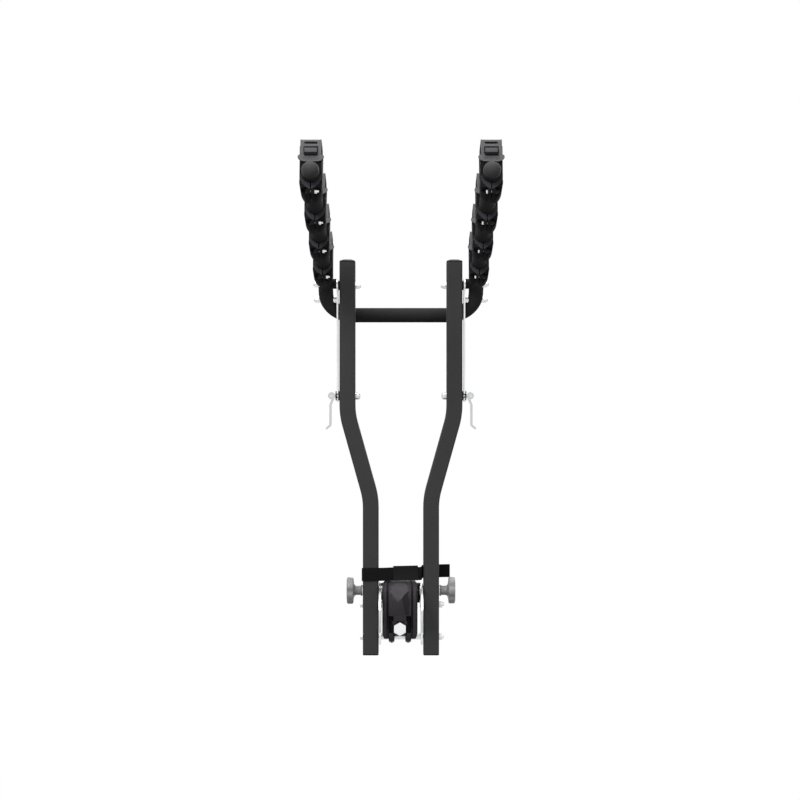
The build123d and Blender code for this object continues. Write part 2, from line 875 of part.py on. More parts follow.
# Pivot bolt through both posts and both plates, with a spacer tube between the plates
with BuildPart() as tilt_pivot_bolt:
    rod_across(-lower_outer, lower_outer + nut_height + thread_end, coupling_pivot, bolt_radius)
    hexagon_across(-lower_outer, -(lower_outer + bolt_head), coupling_pivot, bolt_flats)
save(tilt_pivot_bolt.part, "tilt_pivot_bolt")

with BuildPart() as tilt_pivot_nut:
    hexagon_across(lower_outer, lower_outer + nut_height, coupling_pivot, bolt_flats)
    bore_across(lower_outer, lower_outer + nut_height, coupling_pivot, bolt_radius)
save(tilt_pivot_nut.part, "tilt_pivot_nut")

with BuildPart() as pivot_tube:
    rod_across(-bracket_inner, bracket_inner, coupling_pivot, pivot_tube_radius)
    bore_across(-bracket_inner, bracket_inner, coupling_pivot, bolt_radius + running_play)
save(pivot_tube.part, "pivot_tube")

# Clamp lever: a moulded cover, hollow behind, with two prongs that turn on the spacer tube
lever_left = lever_shift - lever_width / 2
lever_right = lever_shift + lever_width / 2
lever_inside = lever_width - 2 * lever_skin
prong_top = slot_centre + slot_height / 2 + prong_root
prong_front = block_front + running_play
head_corner = screw_flats / 2 / cos(radians(30))
prong_shoulder = screw_height + head_corner + prong_play
with BuildPart() as clamp_lever:
    with BuildSketch(Plane.YZ.offset(lever_left)):
        with BuildLine():
            Polyline(
                (lever_back, lever_top),
                (lever_back - crown_half, lever_top - crown_drop),
                (lever_back - brow_half, lever_top - brow_drop),
                (lever_front + cheek_set_back, lever_top - cheek_drop),
                (lever_front + chest_set_back, lever_top - chest_drop),
                (lever_front, lever_top - belly_drop),
                (lever_front + shin_set_back, lever_top - shin_drop),
                (lever_front + chin_set_back, lever_bottom + chin_rise),
                (lever_front + chin_under, lever_bottom),
                (lever_back, lever_bottom + back_rise),
                close=True,
            )
        make_face()
    extrude(amount=lever_width)
    with Locations((lever_shift, lever_back, (lever_top + lever_bottom) / 2)):
        Box(
            lever_inside,
            2 * (lever_back - lever_front - 2 * lever_skin),
            lever_top - lever_bottom - 3 * lever_skin,
            mode=Mode.SUBTRACT,
        )
    for sign in (-1, 1):
        slot_middle = lever_shift + sign * (prong_inner + prong_outer) / 2
        with Locations((slot_middle, lever_front, slot_centre)):
            Box(
                prong_outer - prong_inner - slot_inset,
                4 * lever_skin,
                slot_height,
                mode=Mode.SUBTRACT,
            )
    with Locations((lever_shift, lever_front, lever_bottom + head_window / 2)):
        Box(
            2 * (prong_inner + head_window_side),
            8 * lever_skin,
            head_window,
            mode=Mode.SUBTRACT,
        )
    for sign in (-1, 1):
        inner = lever_shift + sign * prong_inner
        outer = lever_shift + sign * prong_outer
        with BuildSketch(Plane.YZ.offset(min(inner, outer))) as prong:
            with BuildLine():
                Polyline(
                    (lever_front + prong_overlap, prong_top),
                    (lever_back - prong_back, prong_top),
                    (post_plane, coupling_pivot_height + eye_radius),
                    (post_plane, coupling_pivot_height - eye_radius),
                    (prong_front, lever_bottom - prong_drop),
                    (prong_front, prong_shoulder),
                    (lever_front + prong_overlap, slot_centre + slot_height / 2),
                    close=True,
                )
            make_face()
            with Locations(coupling_pivot):
                Circle(eye_radius)
        extrude(prong.sketch, amount=abs(outer - inner))
    bore_across(lever_left, lever_right, coupling_pivot, pivot_tube_radius + running_play)
save(clamp_lever.part, "clamp_lever")

# Clamp screw with its thread block and pressure pad
screw_plane = Plane(
    (lever_shift, block_front, screw_height),
    x_dir=(1, 0, 0),
    z_dir=(0, 1, 0),
)
with BuildPart() as screw_block:
    with BuildSketch(screw_plane):
        Rectangle(2 * prong_inner, 2 * prong_inner)
        Circle(screw_radius + thread_play, mode=Mode.SUBTRACT)
    extrude(amount=block_depth)
save(screw_block.part, "screw_block")

with BuildPart() as clamp_screw:
    with BuildSketch(screw_plane):
        Circle(screw_radius)
    extrude(amount=screw_tip - block_front)
    with BuildSketch(screw_plane.offset(-lock_slack)):
        RegularPolygon(screw_flats / 2, 6, major_radius=False, rotation=90)
    extrude(amount=-screw_head_length)
    with BuildSketch(screw_plane):
        Circle(screw_radius + screw_collar)
    extrude(amount=-lock_slack)
save(clamp_screw.part, "clamp_screw")

with BuildPart() as pressure_pad:
    with BuildSketch(screw_plane.offset(screw_tip - block_front + running_play)):
        Circle(pad_radius)
    extrude(amount=pad_thickness - running_play)
save(pressure_pad.part, "pressure_pad")

# Webbing safety strap: behind the right post, through its slide, round the left post and back
front_line = post_front - webbing_gap - webbing_thickness / 2
rear_line = post_rear + webbing_gap + webbing_thickness / 2
left_line = -(lower_outer + webbing_gap + webbing_thickness / 2)
inner_line = lower_inner - webbing_gap - webbing_thickness / 2
webbing_base = webbing_height - webbing_width / 2
webbing_turn = post_corner + webbing_gap + webbing_thickness / 2
with BuildPart() as safety_strap:
    with BuildSketch(Plane.XY.offset(webbing_base)):
        with BuildLine():
            FilletPolyline(
                (webbing_tail, rear_line + webbing_sag),
                (lower_outer, rear_line),
                (inner_line, rear_line),
                (inner_line - webbing_sag, front_line),
                (left_line, front_line),
                (left_line, rear_line),
                (-inner_line, rear_line),
                (-inner_line + webbing_return, front_line + webbing_return),
                (-slide_length / 2 + webbing_return, front_line + webbing_end_gap),
                radius=webbing_turn - webbing_ease,
            )
        trace(line_width=webbing_thickness)
    extrude(amount=webbing_width)
save(safety_strap.part, "safety_strap")

with BuildPart() as strap_slide:
    with Locations((slide_middle, front_line, webbing_height + slide_rise)):
        Box(slide_length, slide_thickness, slide_height)
    with Locations((slide_middle, front_line, webbing_height)):
        Box(
            slide_length + overcut,
            webbing_thickness + 2 * hole_play,
            webbing_width + 2 * hole_play,
            mode=Mode.SUBTRACT,
        )
save(strap_slide.part, "strap_slide")

# One cradle, drawn round the arm's axis: a collar split along its keel, and a seat for a bike's tube
seat_centre = tube_radius + seat_pad + bike_tube_radius
half_width = cradle_width / 2
half_length = cradle_length / 2
keel_half = cradle_keel_width / 2
pin_y = half_length + strap_gap + strap_eye_radius
strap_pin_place = (pin_y, strap_pin_height)
keel_screw_place = (-keel_screw_reach, keel_screw_height)
groove_slope = (groove_high - groove_low) / (cradle_width / 2 - groove_inner)
groove_outer = groove_low + groove_slope * (cradle_width - groove_inner)
with BuildPart() as cradle_shape:
    with BuildSketch(Plane.XZ):
        with BuildLine():
            Line((half_width, horn_height), (-half_width, horn_height))
            Line((-half_width, horn_height), (-half_width, -collar_shoulder))
            RadiusArc((-half_width, -collar_shoulder), (-keel_half, -cradle_keel), -keel_round)
            Line((-keel_half, -cradle_keel), (keel_half, -cradle_keel))
            RadiusArc((keel_half, -cradle_keel), (half_width, -collar_shoulder), -keel_round)
            Line((half_width, -collar_shoulder), (half_width, horn_height))
        make_face()
    extrude(amount=half_length, both=True)
    rod_across(-cradle_width, cradle_width, (0, seat_centre), bike_tube_radius, Mode.SUBTRACT)
    with Locations((0, 0, seat_centre + bike_tube_radius)):
        Box(
            2 * cradle_width,
            2 * bike_tube_radius,
            2 * bike_tube_radius,
            mode=Mode.SUBTRACT,
        )
    for sign in (-1, 1):
        with BuildSketch(Plane.XZ.offset(half_length)) as groove:
            with BuildLine():
                Polyline(
                    (sign * groove_inner, groove_low),
                    (sign * cradle_width, groove_outer),
                    (sign * cradle_width, groove_outer + groove_width),
                    (sign * groove_inner, groove_low + groove_width),
                    close=True,
                )
            make_face()
        extrude(groove.sketch, amount=-groove_depth, mode=Mode.SUBTRACT)
        notch_middle = (
            sign * (keel_screw_grip + cradle_width / 2),
            -half_length + notch_length / 2,
            notch_top - cradle_keel / 2,
        )
        with Locations(notch_middle):
            Box(cradle_width, notch_length, cradle_keel, mode=Mode.SUBTRACT)
    with Locations(Location((0, 0, 0), (90, 0, 0))):
        Cylinder(tube_radius + hole_play, 2 * cradle_length, mode=Mode.SUBTRACT)
    with Locations((0, 0, -tube_radius - cradle_keel / 2)):
        Box(seam_width, 2 * cradle_length, cradle_keel, mode=Mode.SUBTRACT)
    with Locations((0, -half_length - nub_reach / 2, nub_centre)):
        Box(nub_width, nub_reach, nub_height)
    hook_lip = half_length + strap_gap + strap_thickness + strap_gap
    nub_end = half_length + nub_reach
    with Locations((0, -(hook_lip + nub_end) / 2, nub_centre - nub_height / 2)):
        Box(nub_width, nub_end - hook_lip, nub_height)
    for sign in (-1, 1):
        lug_inner = sign * (strap_eye_width / 2 + strap_gap)
        lug_outer = sign * (half_width - lug_inset)
        with BuildSketch(Plane.YZ.offset(lug_inner)) as lug_side:
            with Locations(strap_pin_place):
                Circle(strap_eye_radius)
            with Locations(((pin_y + half_length - overcut) / 2, strap_pin_height)):
                Rectangle(pin_y - half_length + overcut, 2 * strap_eye_radius)
        extrude(lug_side.sketch, amount=lug_outer - lug_inner)
    bore_across(-half_width, half_width, strap_pin_place, strap_pin_radius + running_play)
    bore_across(-half_width, half_width, keel_screw_place, cradle_screw_radius + running_play)

# One rubber strap: hooked on the nub, over the bike's tube and down to its pin
front_face = half_length + strap_gap
strap_middle = front_face + strap_thickness / 2
strap_crest = strap_top - strap_thickness / 2
strap_foot = strap_pin_height + strap_eye_radius + strap_end_above_eye
tab_half = strap_tab_width / 2
strap_half = strap_width / 2
with BuildPart() as strap_shape:
    with BuildSketch(Plane.YZ):
        with BuildLine():
            FilletPolyline(
                (-strap_middle, strap_front_bottom),
                (-strap_middle, strap_crest),
                (strap_middle, strap_crest),
                (strap_middle, strap_foot),
                radius=strap_bend_radius,
            )
        trace(line_width=strap_thickness)
    extrude(amount=strap_half, both=True)
    with BuildSketch(Plane.YZ) as root_side:
        with BuildLine():
            Line(
                (strap_middle, strap_foot + strap_root_overlap),
                (strap_middle, strap_pin_height),
            )
        trace(line_width=strap_thickness)
        with Locations(strap_pin_place):
            Circle(strap_eye_radius)
    extrude(root_side.sketch, amount=strap_eye_width / 2, both=True)
    with BuildSketch(Plane.XZ.offset(front_face)) as tab:
        with BuildLine():
            Polyline(
                (-strap_half, strap_front_bottom + tab_neck_height),
                (-tab_half, strap_front_bottom + tab_wide_height),
                (-tab_half + tab_corner_inset, strap_front_bottom + tab_corner_height),
                (-strap_half + tab_foot_inset, strap_front_bottom),
                (strap_half - tab_foot_inset, strap_front_bottom),
                (tab_half - tab_corner_inset, strap_front_bottom + tab_corner_height),
                (tab_half, strap_front_bottom + tab_wide_height),
                (strap_half, strap_front_bottom + tab_neck_height),
                close=True,
            )
        make_face()
    extrude(tab.sketch, amount=strap_thickness)
    with Locations((0, -strap_middle, nub_centre + hook_hole_rise)):
        Box(hook_hole_width, 2 * strap_thickness, hook_hole_height, mode=Mode.SUBTRACT)
    with Locations((0, -strap_middle, spare_hole_centre)):
        Box(spare_hole_width, 2 * strap_thickness, spare_hole_height, mode=Mode.SUBTRACT)
    for sign in (-1, 1):
        with Locations((sign * strap_half, -strap_middle, strap_front_bottom)):
            Cylinder(
                tab_notch_radius,
                2 * strap_thickness,
                rotation=(90, 0, 0),
                mode=Mode.SUBTRACT,
            )
    bore_across(-half_width, half_width, strap_pin_place, strap_pin_radius + running_play)

# Cradles, straps, strap pins and keel screws along both arms, numbered from the tips inwards
reaches = [arm_length - tip_margin - cradle_pitch * step for step in range(cradle_count)]
for side, sign in sides:
    for number, reach in enumerate(reaches, start=1):
        with BuildPart() as cradle:
            with Locations(arm_place(sign, reach)):
                add(cradle_shape.part)
        save(cradle.part, f"{side}_cradle_{number}")
        with BuildPart() as rubber_strap:
            with Locations(arm_place(sign, reach)):
                add(strap_shape.part)
        save(rubber_strap.part, f"{side}_strap_{number}")

with BuildPart() as pin_shape:
    pin_half = half_width - lug_inset
    rod_across(-pin_half, pin_half, strap_pin_place, strap_pin_radius)

with BuildPart() as keel_screw_shape:
    nut_outer = keel_screw_grip + cradle_nut_height
    rod_across(-keel_screw_grip, nut_outer + keel_screw_end, keel_screw_place, cradle_screw_radius)
    hexagon_across(
        -keel_screw_grip,
        -keel_screw_grip - cradle_screw_head_height,
        keel_screw_place,
        cradle_screw_flats,
    )
    hexagon_across(keel_screw_grip, nut_outer, keel_screw_place, cradle_screw_flats)

with BuildPart() as strap_pins:
    for side, sign in sides:
        for reach in reaches:
            with Locations(arm_place(sign, reach)):
                add(pin_shape.part)
save(strap_pins.part, "strap_pins")

with BuildPart() as cradle_screws:
    for side, sign in sides:
        for reach in reaches:
            with Locations(arm_place(sign, reach)):
                add(keel_screw_shape.part)
save(cradle_screws.part, "cradle_screws")
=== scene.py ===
"""Dresses a tow-ball bike rack: finishes for its metal, and its moulded, rubber and woven pieces."""

import logging
import math
from collections.abc import Callable, Sequence
from dataclasses import dataclass
from enum import Enum
from functools import cache, partial
from itertools import accumulate, product

import bmesh
import bpy
from mathutils import Matrix, Vector


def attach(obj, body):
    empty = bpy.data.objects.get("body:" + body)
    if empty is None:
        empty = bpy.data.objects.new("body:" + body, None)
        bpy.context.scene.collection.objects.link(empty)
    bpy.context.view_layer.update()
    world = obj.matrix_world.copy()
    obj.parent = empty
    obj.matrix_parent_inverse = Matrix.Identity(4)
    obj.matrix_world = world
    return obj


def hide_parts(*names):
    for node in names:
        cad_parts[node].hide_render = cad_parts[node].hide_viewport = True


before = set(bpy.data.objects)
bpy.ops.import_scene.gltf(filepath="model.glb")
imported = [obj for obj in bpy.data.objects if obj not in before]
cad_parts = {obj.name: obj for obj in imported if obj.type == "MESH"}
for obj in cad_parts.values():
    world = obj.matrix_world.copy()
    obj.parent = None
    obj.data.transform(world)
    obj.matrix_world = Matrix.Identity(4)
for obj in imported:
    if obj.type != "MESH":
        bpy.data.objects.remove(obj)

MM = 0.001
LOG = logging.getLogger("bike_rack")

Colour = tuple[float, float, float]
Point = tuple[float, float, float]
Flat = tuple[float, float]
Pair = tuple[Vector, Vector]


class Side(Enum):
    """The two sides of the rack, each with the sign of its X."""

    LEFT = -1
    RIGHT = 1

    def named(self, pattern: str) -> str:
        """A node's name on this side, from a pattern with a star where the side stands."""
        return pattern.replace("*", self.name.lower())


def arithmetic(operation: str, swapped: bool = False) -> Callable[..., "Socket"]:
    """Makes one of Socket's methods.

    Args:
        operation: what the Math node does.
        swapped: whether the other value comes first.

    Returns:
        A method that adds the Math node and returns its value.
    """

    def method(self: "Socket", other: object = 0.0) -> "Socket":
        """The value that the Math node gives."""
        first, second = (other, self) if swapped else (self, other)
        return self.owner.node("ShaderNodeMath", {0: first, 1: second}, operation=operation)

    return method


class Socket:
    """One output of a node, with the arithmetic that a pattern is written in."""

    __add__ = __radd__ = arithmetic("ADD")
    __mul__ = __rmul__ = arithmetic("MULTIPLY")
    __sub__ = arithmetic("SUBTRACT")
    __rsub__ = arithmetic("SUBTRACT", swapped=True)
    sine = arithmetic("SINE")
    absolute = arithmetic("ABSOLUTE")
    at_least = arithmetic("MAXIMUM")
    at_most = arithmetic("MINIMUM")

    def __init__(self, owner: "NodeTree", output: bpy.types.NodeSocket) -> None:
        """Keeps the tree that new Math nodes go into, and the socket itself."""
        self.owner = owner
        self.output = output

    def beside(self, name: str) -> "Socket":
        """Another output of the same node."""
        return Socket(self.owner, self.output.node.outputs[name])


class NodeTree:
    """A shader or geometry tree, and the one method that adds any node to it."""

    def __init__(self, tree: bpy.types.NodeTree) -> None:
        """Empties the tree that nodes are to be added to."""
        self.tree = tree
        self.tree.nodes.clear()

    def add(self, kind: str, sockets: dict[str | int, object], **settings: object) -> bpy.types.Node:
        """Adds a node.

        Args:
            kind: Blender's name of the node type.
            sockets: a value or a link for each named or numbered input.
            settings: the node's own settings; stops holds a ramp's two places and grey levels.

        Returns:
            The node.
        """
        made = self.tree.nodes.new(kind)
        for number, (place, level) in enumerate(settings.pop("stops", ())):
            made.color_ramp.elements[number].position = place
            made.color_ramp.elements[number].color = (level, level, level, 1.0)
        for name, value in settings.items():
            setattr(made, name, value)
        for key, value in sockets.items():
            if isinstance(value, Socket):
                self.tree.links.new(value.output, made.inputs[key])
            else:
                made.inputs[key].default_value = value
        return made

    def node(
        self,
        kind: str,
        sockets: dict[str | int, object] | None = None,
        output: str | int = 0,
        **settings: object,
    ) -> Socket:
        """Adds a node and returns one of its outputs, ready for arithmetic."""
        return Socket(self, self.add(kind, sockets or {}, **settings).outputs[output])


class ShaderTree(NodeTree):
    """The tree of one material, with the few things every finish starts from."""

    def __init__(self, name: str) -> None:
        """Makes an empty material.

        Args:
            name: the material's name.
        """
        self.material = bpy.data.materials.new(name)
        self.material.use_nodes = True
        super().__init__(self.material.node_tree)
        self.place = self.node("ShaderNodeTexCoord", output="Object")

    def noise(self, scale: float, detail: float = 2.0, place: Socket | None = None) -> Socket:
        """Adds a noise pattern.

        Args:
            scale: how many blobs there are to a metre.
            detail: how many finer layers it has.
            place: the coordinates, if they aren't the object's.

        Returns:
            The pattern, from 0 to 1.
        """
        sockets = {"Vector": place or self.place, "Scale": scale, "Detail": detail}
        return self.node("ShaderNodeTexNoise", sockets, "Fac")

    def axis(self, name: str, place: Socket | None = None) -> Socket:
        """One axis of the object's coordinates, or of others."""
        return self.node("ShaderNodeSeparateXYZ", {0: place or self.place}, name)

    def mix(self, share: Socket, first: Colour, second: Colour) -> Socket:
        """Mixes two colours by a share from 0 to 1."""
        sockets = {0: share, 6: (*first, 1.0), 7: (*second, 1.0)}
        return self.node("ShaderNodeMix", sockets, 2, data_type="RGBA")

    def bump(self, height: Socket, depth: float, strength: float) -> Socket:
        """Turns a height pattern into a normal; the depth is in millimetres."""
        sockets = {"Strength": strength, "Distance": depth * MM, "Height": height}
        return self.node("ShaderNodeBump", sockets)


@dataclass(frozen=True)
class Coating:
    """What the finishes share: a name, a colour, a middle roughness and how strongly it reflects."""

    name: str
    colour: Colour
    roughness: float = 0.5
    gloss: float = 0.3

    def tinted(self, factor: float, lift: float = 0.0) -> Colour:
        """The colour made paler or darker."""
        return tuple(min(1.0, level * factor + lift) for level in self.colour)

    def varied(self, pattern: Socket, spread: float) -> Socket:
        """The roughness, spread evenly about its middle by a pattern."""
        return pattern * spread + (self.roughness - spread / 2)

    def pattern(self, tree: ShaderTree) -> dict[str, object]:
        """The values and patterns of the shader's sockets, which each finish has of its own."""
        raise NotImplementedError

    def build(self) -> bpy.types.Material:
        """Makes the material, with one Principled shader.

        Returns:
            The material.
        """
        tree = ShaderTree(self.name)
        sockets = {"Specular IOR Level": self.gloss, **self.pattern(tree)}
        shader = tree.node("ShaderNodeBsdfPrincipled", sockets)
        tree.add("ShaderNodeOutputMaterial", {"Surface": shader})
        return tree.material


class PowderCoat(Coating):
    """Baked paint on steel tube: orange peel and faint dust."""

    def pattern(self, tree: ShaderTree) -> dict[str, object]:
        """Dust in soft clouds, over a fine peel.

        Args:
            tree: the material's tree.

        Returns:
            A value or a link for each socket.
        """
        cloud = tree.noise(scale=9.0, detail=4.0)
        peel = tree.noise(scale=900.0, detail=1.0)
        return {
            "Base Color": tree.mix(cloud * 0.5, self.colour, self.tinted(1.35, lift=0.004)),
            "Roughness": self.varied(cloud, spread=0.16),
            "Normal": tree.bump(peel, depth=0.05, strength=0.5),
        }


class Moulding(Coating):
    """Spark-eroded plastic, with a fine grain and slightly shinier rubbed places."""

    def pattern(self, tree: ShaderTree) -> dict[str, object]:
        """Rubbed places in small clouds, over a fine grain.

        Args:
            tree: the material's tree.

        Returns:
            A value or a link for each socket.
        """
        cloud = tree.noise(scale=26.0, detail=3.0)
        grain = tree.noise(scale=2200.0)
        return {
            "Base Color": tree.mix(cloud, self.colour, self.tinted(1.25)),
            "Roughness": self.varied(cloud, spread=0.14),
            "Normal": tree.bump(grain, depth=0.06, strength=0.6),
        }


@dataclass(frozen=True)
class Rubber(Coating):
    """Moulded strap rubber, with a dusty bloom in patches and flow marks."""

    dust: Colour = (0.17, 0.17, 0.172)

    def pattern(self, tree: ShaderTree) -> dict[str, object]:
        """A bloom in clear patches, over grain and flow marks.

        Args:
            tree: the material's tree.

        Returns:
            A value or a link for each socket.
        """
        stops = ((0.35, 0.0), (0.75, 1.0))
        dusty = tree.noise(scale=45.0, detail=5.0)
        bloom = tree.node("ShaderNodeValToRGB", {0: dusty}, stops=stops)
        relief = tree.noise(scale=1500.0) + tree.noise(scale=140.0, detail=1.0) * 2.0
        return {
            "Base Color": tree.mix(bloom * 0.6, self.colour, self.dust),
            "Roughness": bloom * 0.12 + self.roughness,
            "Normal": tree.bump(relief, depth=0.05, strength=0.5),
        }


@dataclass(frozen=True)
class ZincPlate(Coating):
    """Bright zinc on steel: metal with faint rolling lines and cloudy passivation."""

    roughness: float = 0.34
    gloss: float = 0.5
    metal: float = 1.0

    def pattern(self, tree: ShaderTree) -> dict[str, object]:
        """Clouds, and lines drawn out along Z.

        Args:
            tree: the material's tree.

        Returns:
            A value or a link for each socket.
        """
        cloud = tree.noise(scale=70.0, detail=4.0)
        drawn = tree.node("ShaderNodeMapping", {"Vector": tree.place, "Scale": (1.0, 1.0, 0.03)})
        lines = tree.noise(scale=1400.0, place=drawn)
        return {
            "Base Color": tree.mix(cloud, self.colour, self.tinted(0.82)),
            "Metallic": self.metal,
            "Roughness": cloud * 0.18 + lines * 0.06 + (self.roughness - 0.1),
            "Normal": tree.bump(lines, depth=0.02, strength=0.35),
        }


@dataclass(frozen=True)
class TwoToneScrew(Coating):
    """Screws across the arms: bright where they face the middle, and black on the outer side."""

    arm_x: float = 143.5
    steepness: float = 4000.0
    black: Colour = (0.012, 0.012, 0.012)

    def pattern(self, tree: ShaderTree) -> dict[str, object]:
        """Clouded zinc on one side of the arm, and black on the other.

        Args:
            tree: the material's tree.

        Returns:
            A value or a link for each socket.
        """
        outside = (tree.axis("X").absolute() - self.arm_x * MM) * self.steepness
        outside = outside.at_least(0.0).at_most(1.0)
        cloud = tree.noise(scale=70.0, detail=3.0)
        return {
            "Base Color": tree.mix(outside, self.colour, self.black),
            "Metallic": 1.0 - outside,
            "Roughness": cloud * 0.15 + self.roughness,
            "Normal": tree.bump(cloud, depth=0.02, strength=0.3),
        }


@dataclass(frozen=True)
class Webbing(Coating):
    """Woven polyester tape, its weave drawn on the piece's own UV map in metres."""

    roughness: float = 0.92
    gloss: float = 0.1
    thread: float = 1.5
    width: float = 25.0

    def pattern(self, tree: ShaderTree) -> dict[str, object]:
        """Warp and weft in a slanting weave, with fuzz and a raised edge.

        Args:
            tree: the material's tree.

        Returns:
            A value or a link for each socket.
        """
        along = tree.axis("X", tree.node("ShaderNodeUVMap", uv_map="weave"))
        across = along.beside("Y")
        turns = 2.0 * math.pi / (self.thread * MM)
        warp = (across * turns).sine()
        weft = (along * turns + across * (turns * 0.5)).sine()
        ridge = (warp * weft).absolute()
        selvedge = (across * (math.pi / (self.width * MM))).sine().absolute()
        fuzz = tree.noise(scale=3000.0)
        return {
            "Base Color": tree.mix(ridge * 0.6 + fuzz * 0.3, self.colour, self.tinted(3.0)),
            "Roughness": self.roughness - ridge * 0.12,
            "Sheen Weight": 0.04,
            "Sheen Roughness": 0.5,
            "Normal": tree.bump(ridge + fuzz * 0.4 + selvedge * 0.3, depth=0.25, strength=0.8),
        }


class Finish(Enum):
    """Every finish on the rack."""

    POST = PowderCoat("post_powder_coat", (0.03, 0.03, 0.031), 0.58, 0.25)
    ARM = PowderCoat("arm_powder_coat", (0.032, 0.032, 0.033), 0.6, 0.01)
    CUP = PowderCoat("coupling_black_paint", (0.012, 0.012, 0.013), 0.4, 0.15)
    CAP = Moulding("cap_plastic", (0.02, 0.02, 0.021), 0.55, 0.06)
    DOME = Moulding("arm_end_plastic", (0.055, 0.055, 0.056), 0.42, 0.02)
    SPACER = Moulding("spacer_plastic", (0.01, 0.01, 0.01), 0.5, 0.05)
    KNOB = Moulding("knob_plastic", (0.25, 0.25, 0.255), 0.34)
    LEVER = Moulding("lever_plastic", (0.036, 0.033, 0.038), 0.42, 0.08)
    # A lighter copy of the lever plastic: a painted highlight on the shield's upper facets.
    SHIELD = Moulding("lever_shield_plastic", (0.058, 0.054, 0.061), 0.36, 0.08)
    # A darker, rougher copy of the lever plastic: painted shade on the shield's lower right facets.
    SHADE = Moulding("lever_rough_plastic", (0.024, 0.022, 0.025), 0.6, 0.04)
    CRADLE = Moulding("cradle_plastic", (0.013, 0.013, 0.014), 0.55, 0.005)
    # A lighter copy of the cradle plastic: painted light on the V's wings.
    WING = Moulding("cradle_wing_plastic", (0.045, 0.045, 0.052), 0.45, 0.06)
    # A much paler copy of the cradle plastic: painted light on the nub's lit face.
    NUB = Moulding("cradle_nub_plastic", (0.1, 0.1, 0.104), 0.5, 0.05)
    SLIDE = Moulding("slide_plastic", (0.012, 0.012, 0.012), 0.5, 0.06)
    STRAP = Rubber("strap_rubber", (0.13, 0.13, 0.135), 0.62, 0.08)
    TAPE = Webbing("safety_webbing", (0.004, 0.004, 0.0045))
    PLATE = ZincPlate("arm_plate_zinc", (0.84, 0.85, 0.86))
    BRACKET = ZincPlate("bracket_zinc", (0.84, 0.85, 0.86), 0.3)
    BOLT = ZincPlate("bolt_zinc", (0.78, 0.79, 0.8), 0.3)
    BLADE = ZincPlate("lock_lever_zinc", (0.62, 0.63, 0.64), 0.36)
    KEEL = TwoToneScrew("cradle_screw_zinc", (0.78, 0.79, 0.8), 0.28, 0.1)
    HEAD = ZincPlate("clamp_screw_zinc", (0.95, 0.955, 0.96), 0.3)
    OXIDE = ZincPlate("black_oxide_screw", (0.03, 0.03, 0.03), 0.45, metal=0.0)

    @cache
    def material(self) -> bpy.types.Material:
        """The finish's material, made once."""
        return self.value.build()


def link(name: str, data: bpy.types.ID) -> bpy.types.Object:
    """Puts a new object into the scene.

    Args:
        name: the object's name.
        data: its mesh, lamp or camera.

    Returns:
        The object.
    """
    made = bpy.data.objects.new(name, data)
    bpy.context.scene.collection.objects.link(made)
    return made


class GeometryTree(NodeTree):
    """A Geometry Nodes group with named sizes, which grows one plain mesh at a time."""

    def __init__(self, name: str) -> None:
        """Makes an empty group with a geometry output.

        Args:
            name: the group's name.
        """
        super().__init__(bpy.data.node_groups.new(name, "GeometryNodeTree"))
        self._socket("Geometry", "OUTPUT", "NodeSocketGeometry")
        self.entry = self.tree.nodes.new("NodeGroupInput")

    def _socket(self, name: str, way: str, kind: str) -> None:
        """Adds an input or an output to the group."""
        self.tree.interface.new_socket(name, in_out=way, socket_type=kind)

    def size(self, name: str, kind: str = "NodeSocketFloat") -> Socket:
        """Adds a named input and returns it."""
        self._socket(name, "INPUT", kind)
        return Socket(self, self.entry.outputs[name])

    def close(self, instances: Socket, material: bpy.types.Material) -> None:
        """Ends the group in Realize Instances and Set Material.

        Args:
            instances: the rods, on their points.
            material: what they are painted with.
        """
        real = self.node("GeometryNodeRealizeInstances", {"Geometry": instances})
        painted = self.node("GeometryNodeSetMaterial", {"Geometry": real, "Material": material})
        self.add("NodeGroupOutput", {"Geometry": painted})

    def grow(self, sizes: dict[str, float]) -> bpy.types.Mesh:
        """Runs the group.

        Args:
            sizes: a value for each named input.

        Returns:
            A plain mesh, with its material set.
        """
        seed = link("seed", bpy.data.meshes.new("seed"))
        modifier = seed.modifiers.new("grow", "NODES")
        modifier.node_group = self.tree
        for item in self.tree.interface.items_tree:
            if item.item_type == "SOCKET" and item.in_out == "INPUT":
                modifier[item.identifier] = sizes[item.name]
        evaluated = seed.evaluated_get(bpy.context.evaluated_depsgraph_get())
        mesh = bpy.data.meshes.new_from_object(evaluated)
        bpy.data.objects.remove(seed)
        return mesh


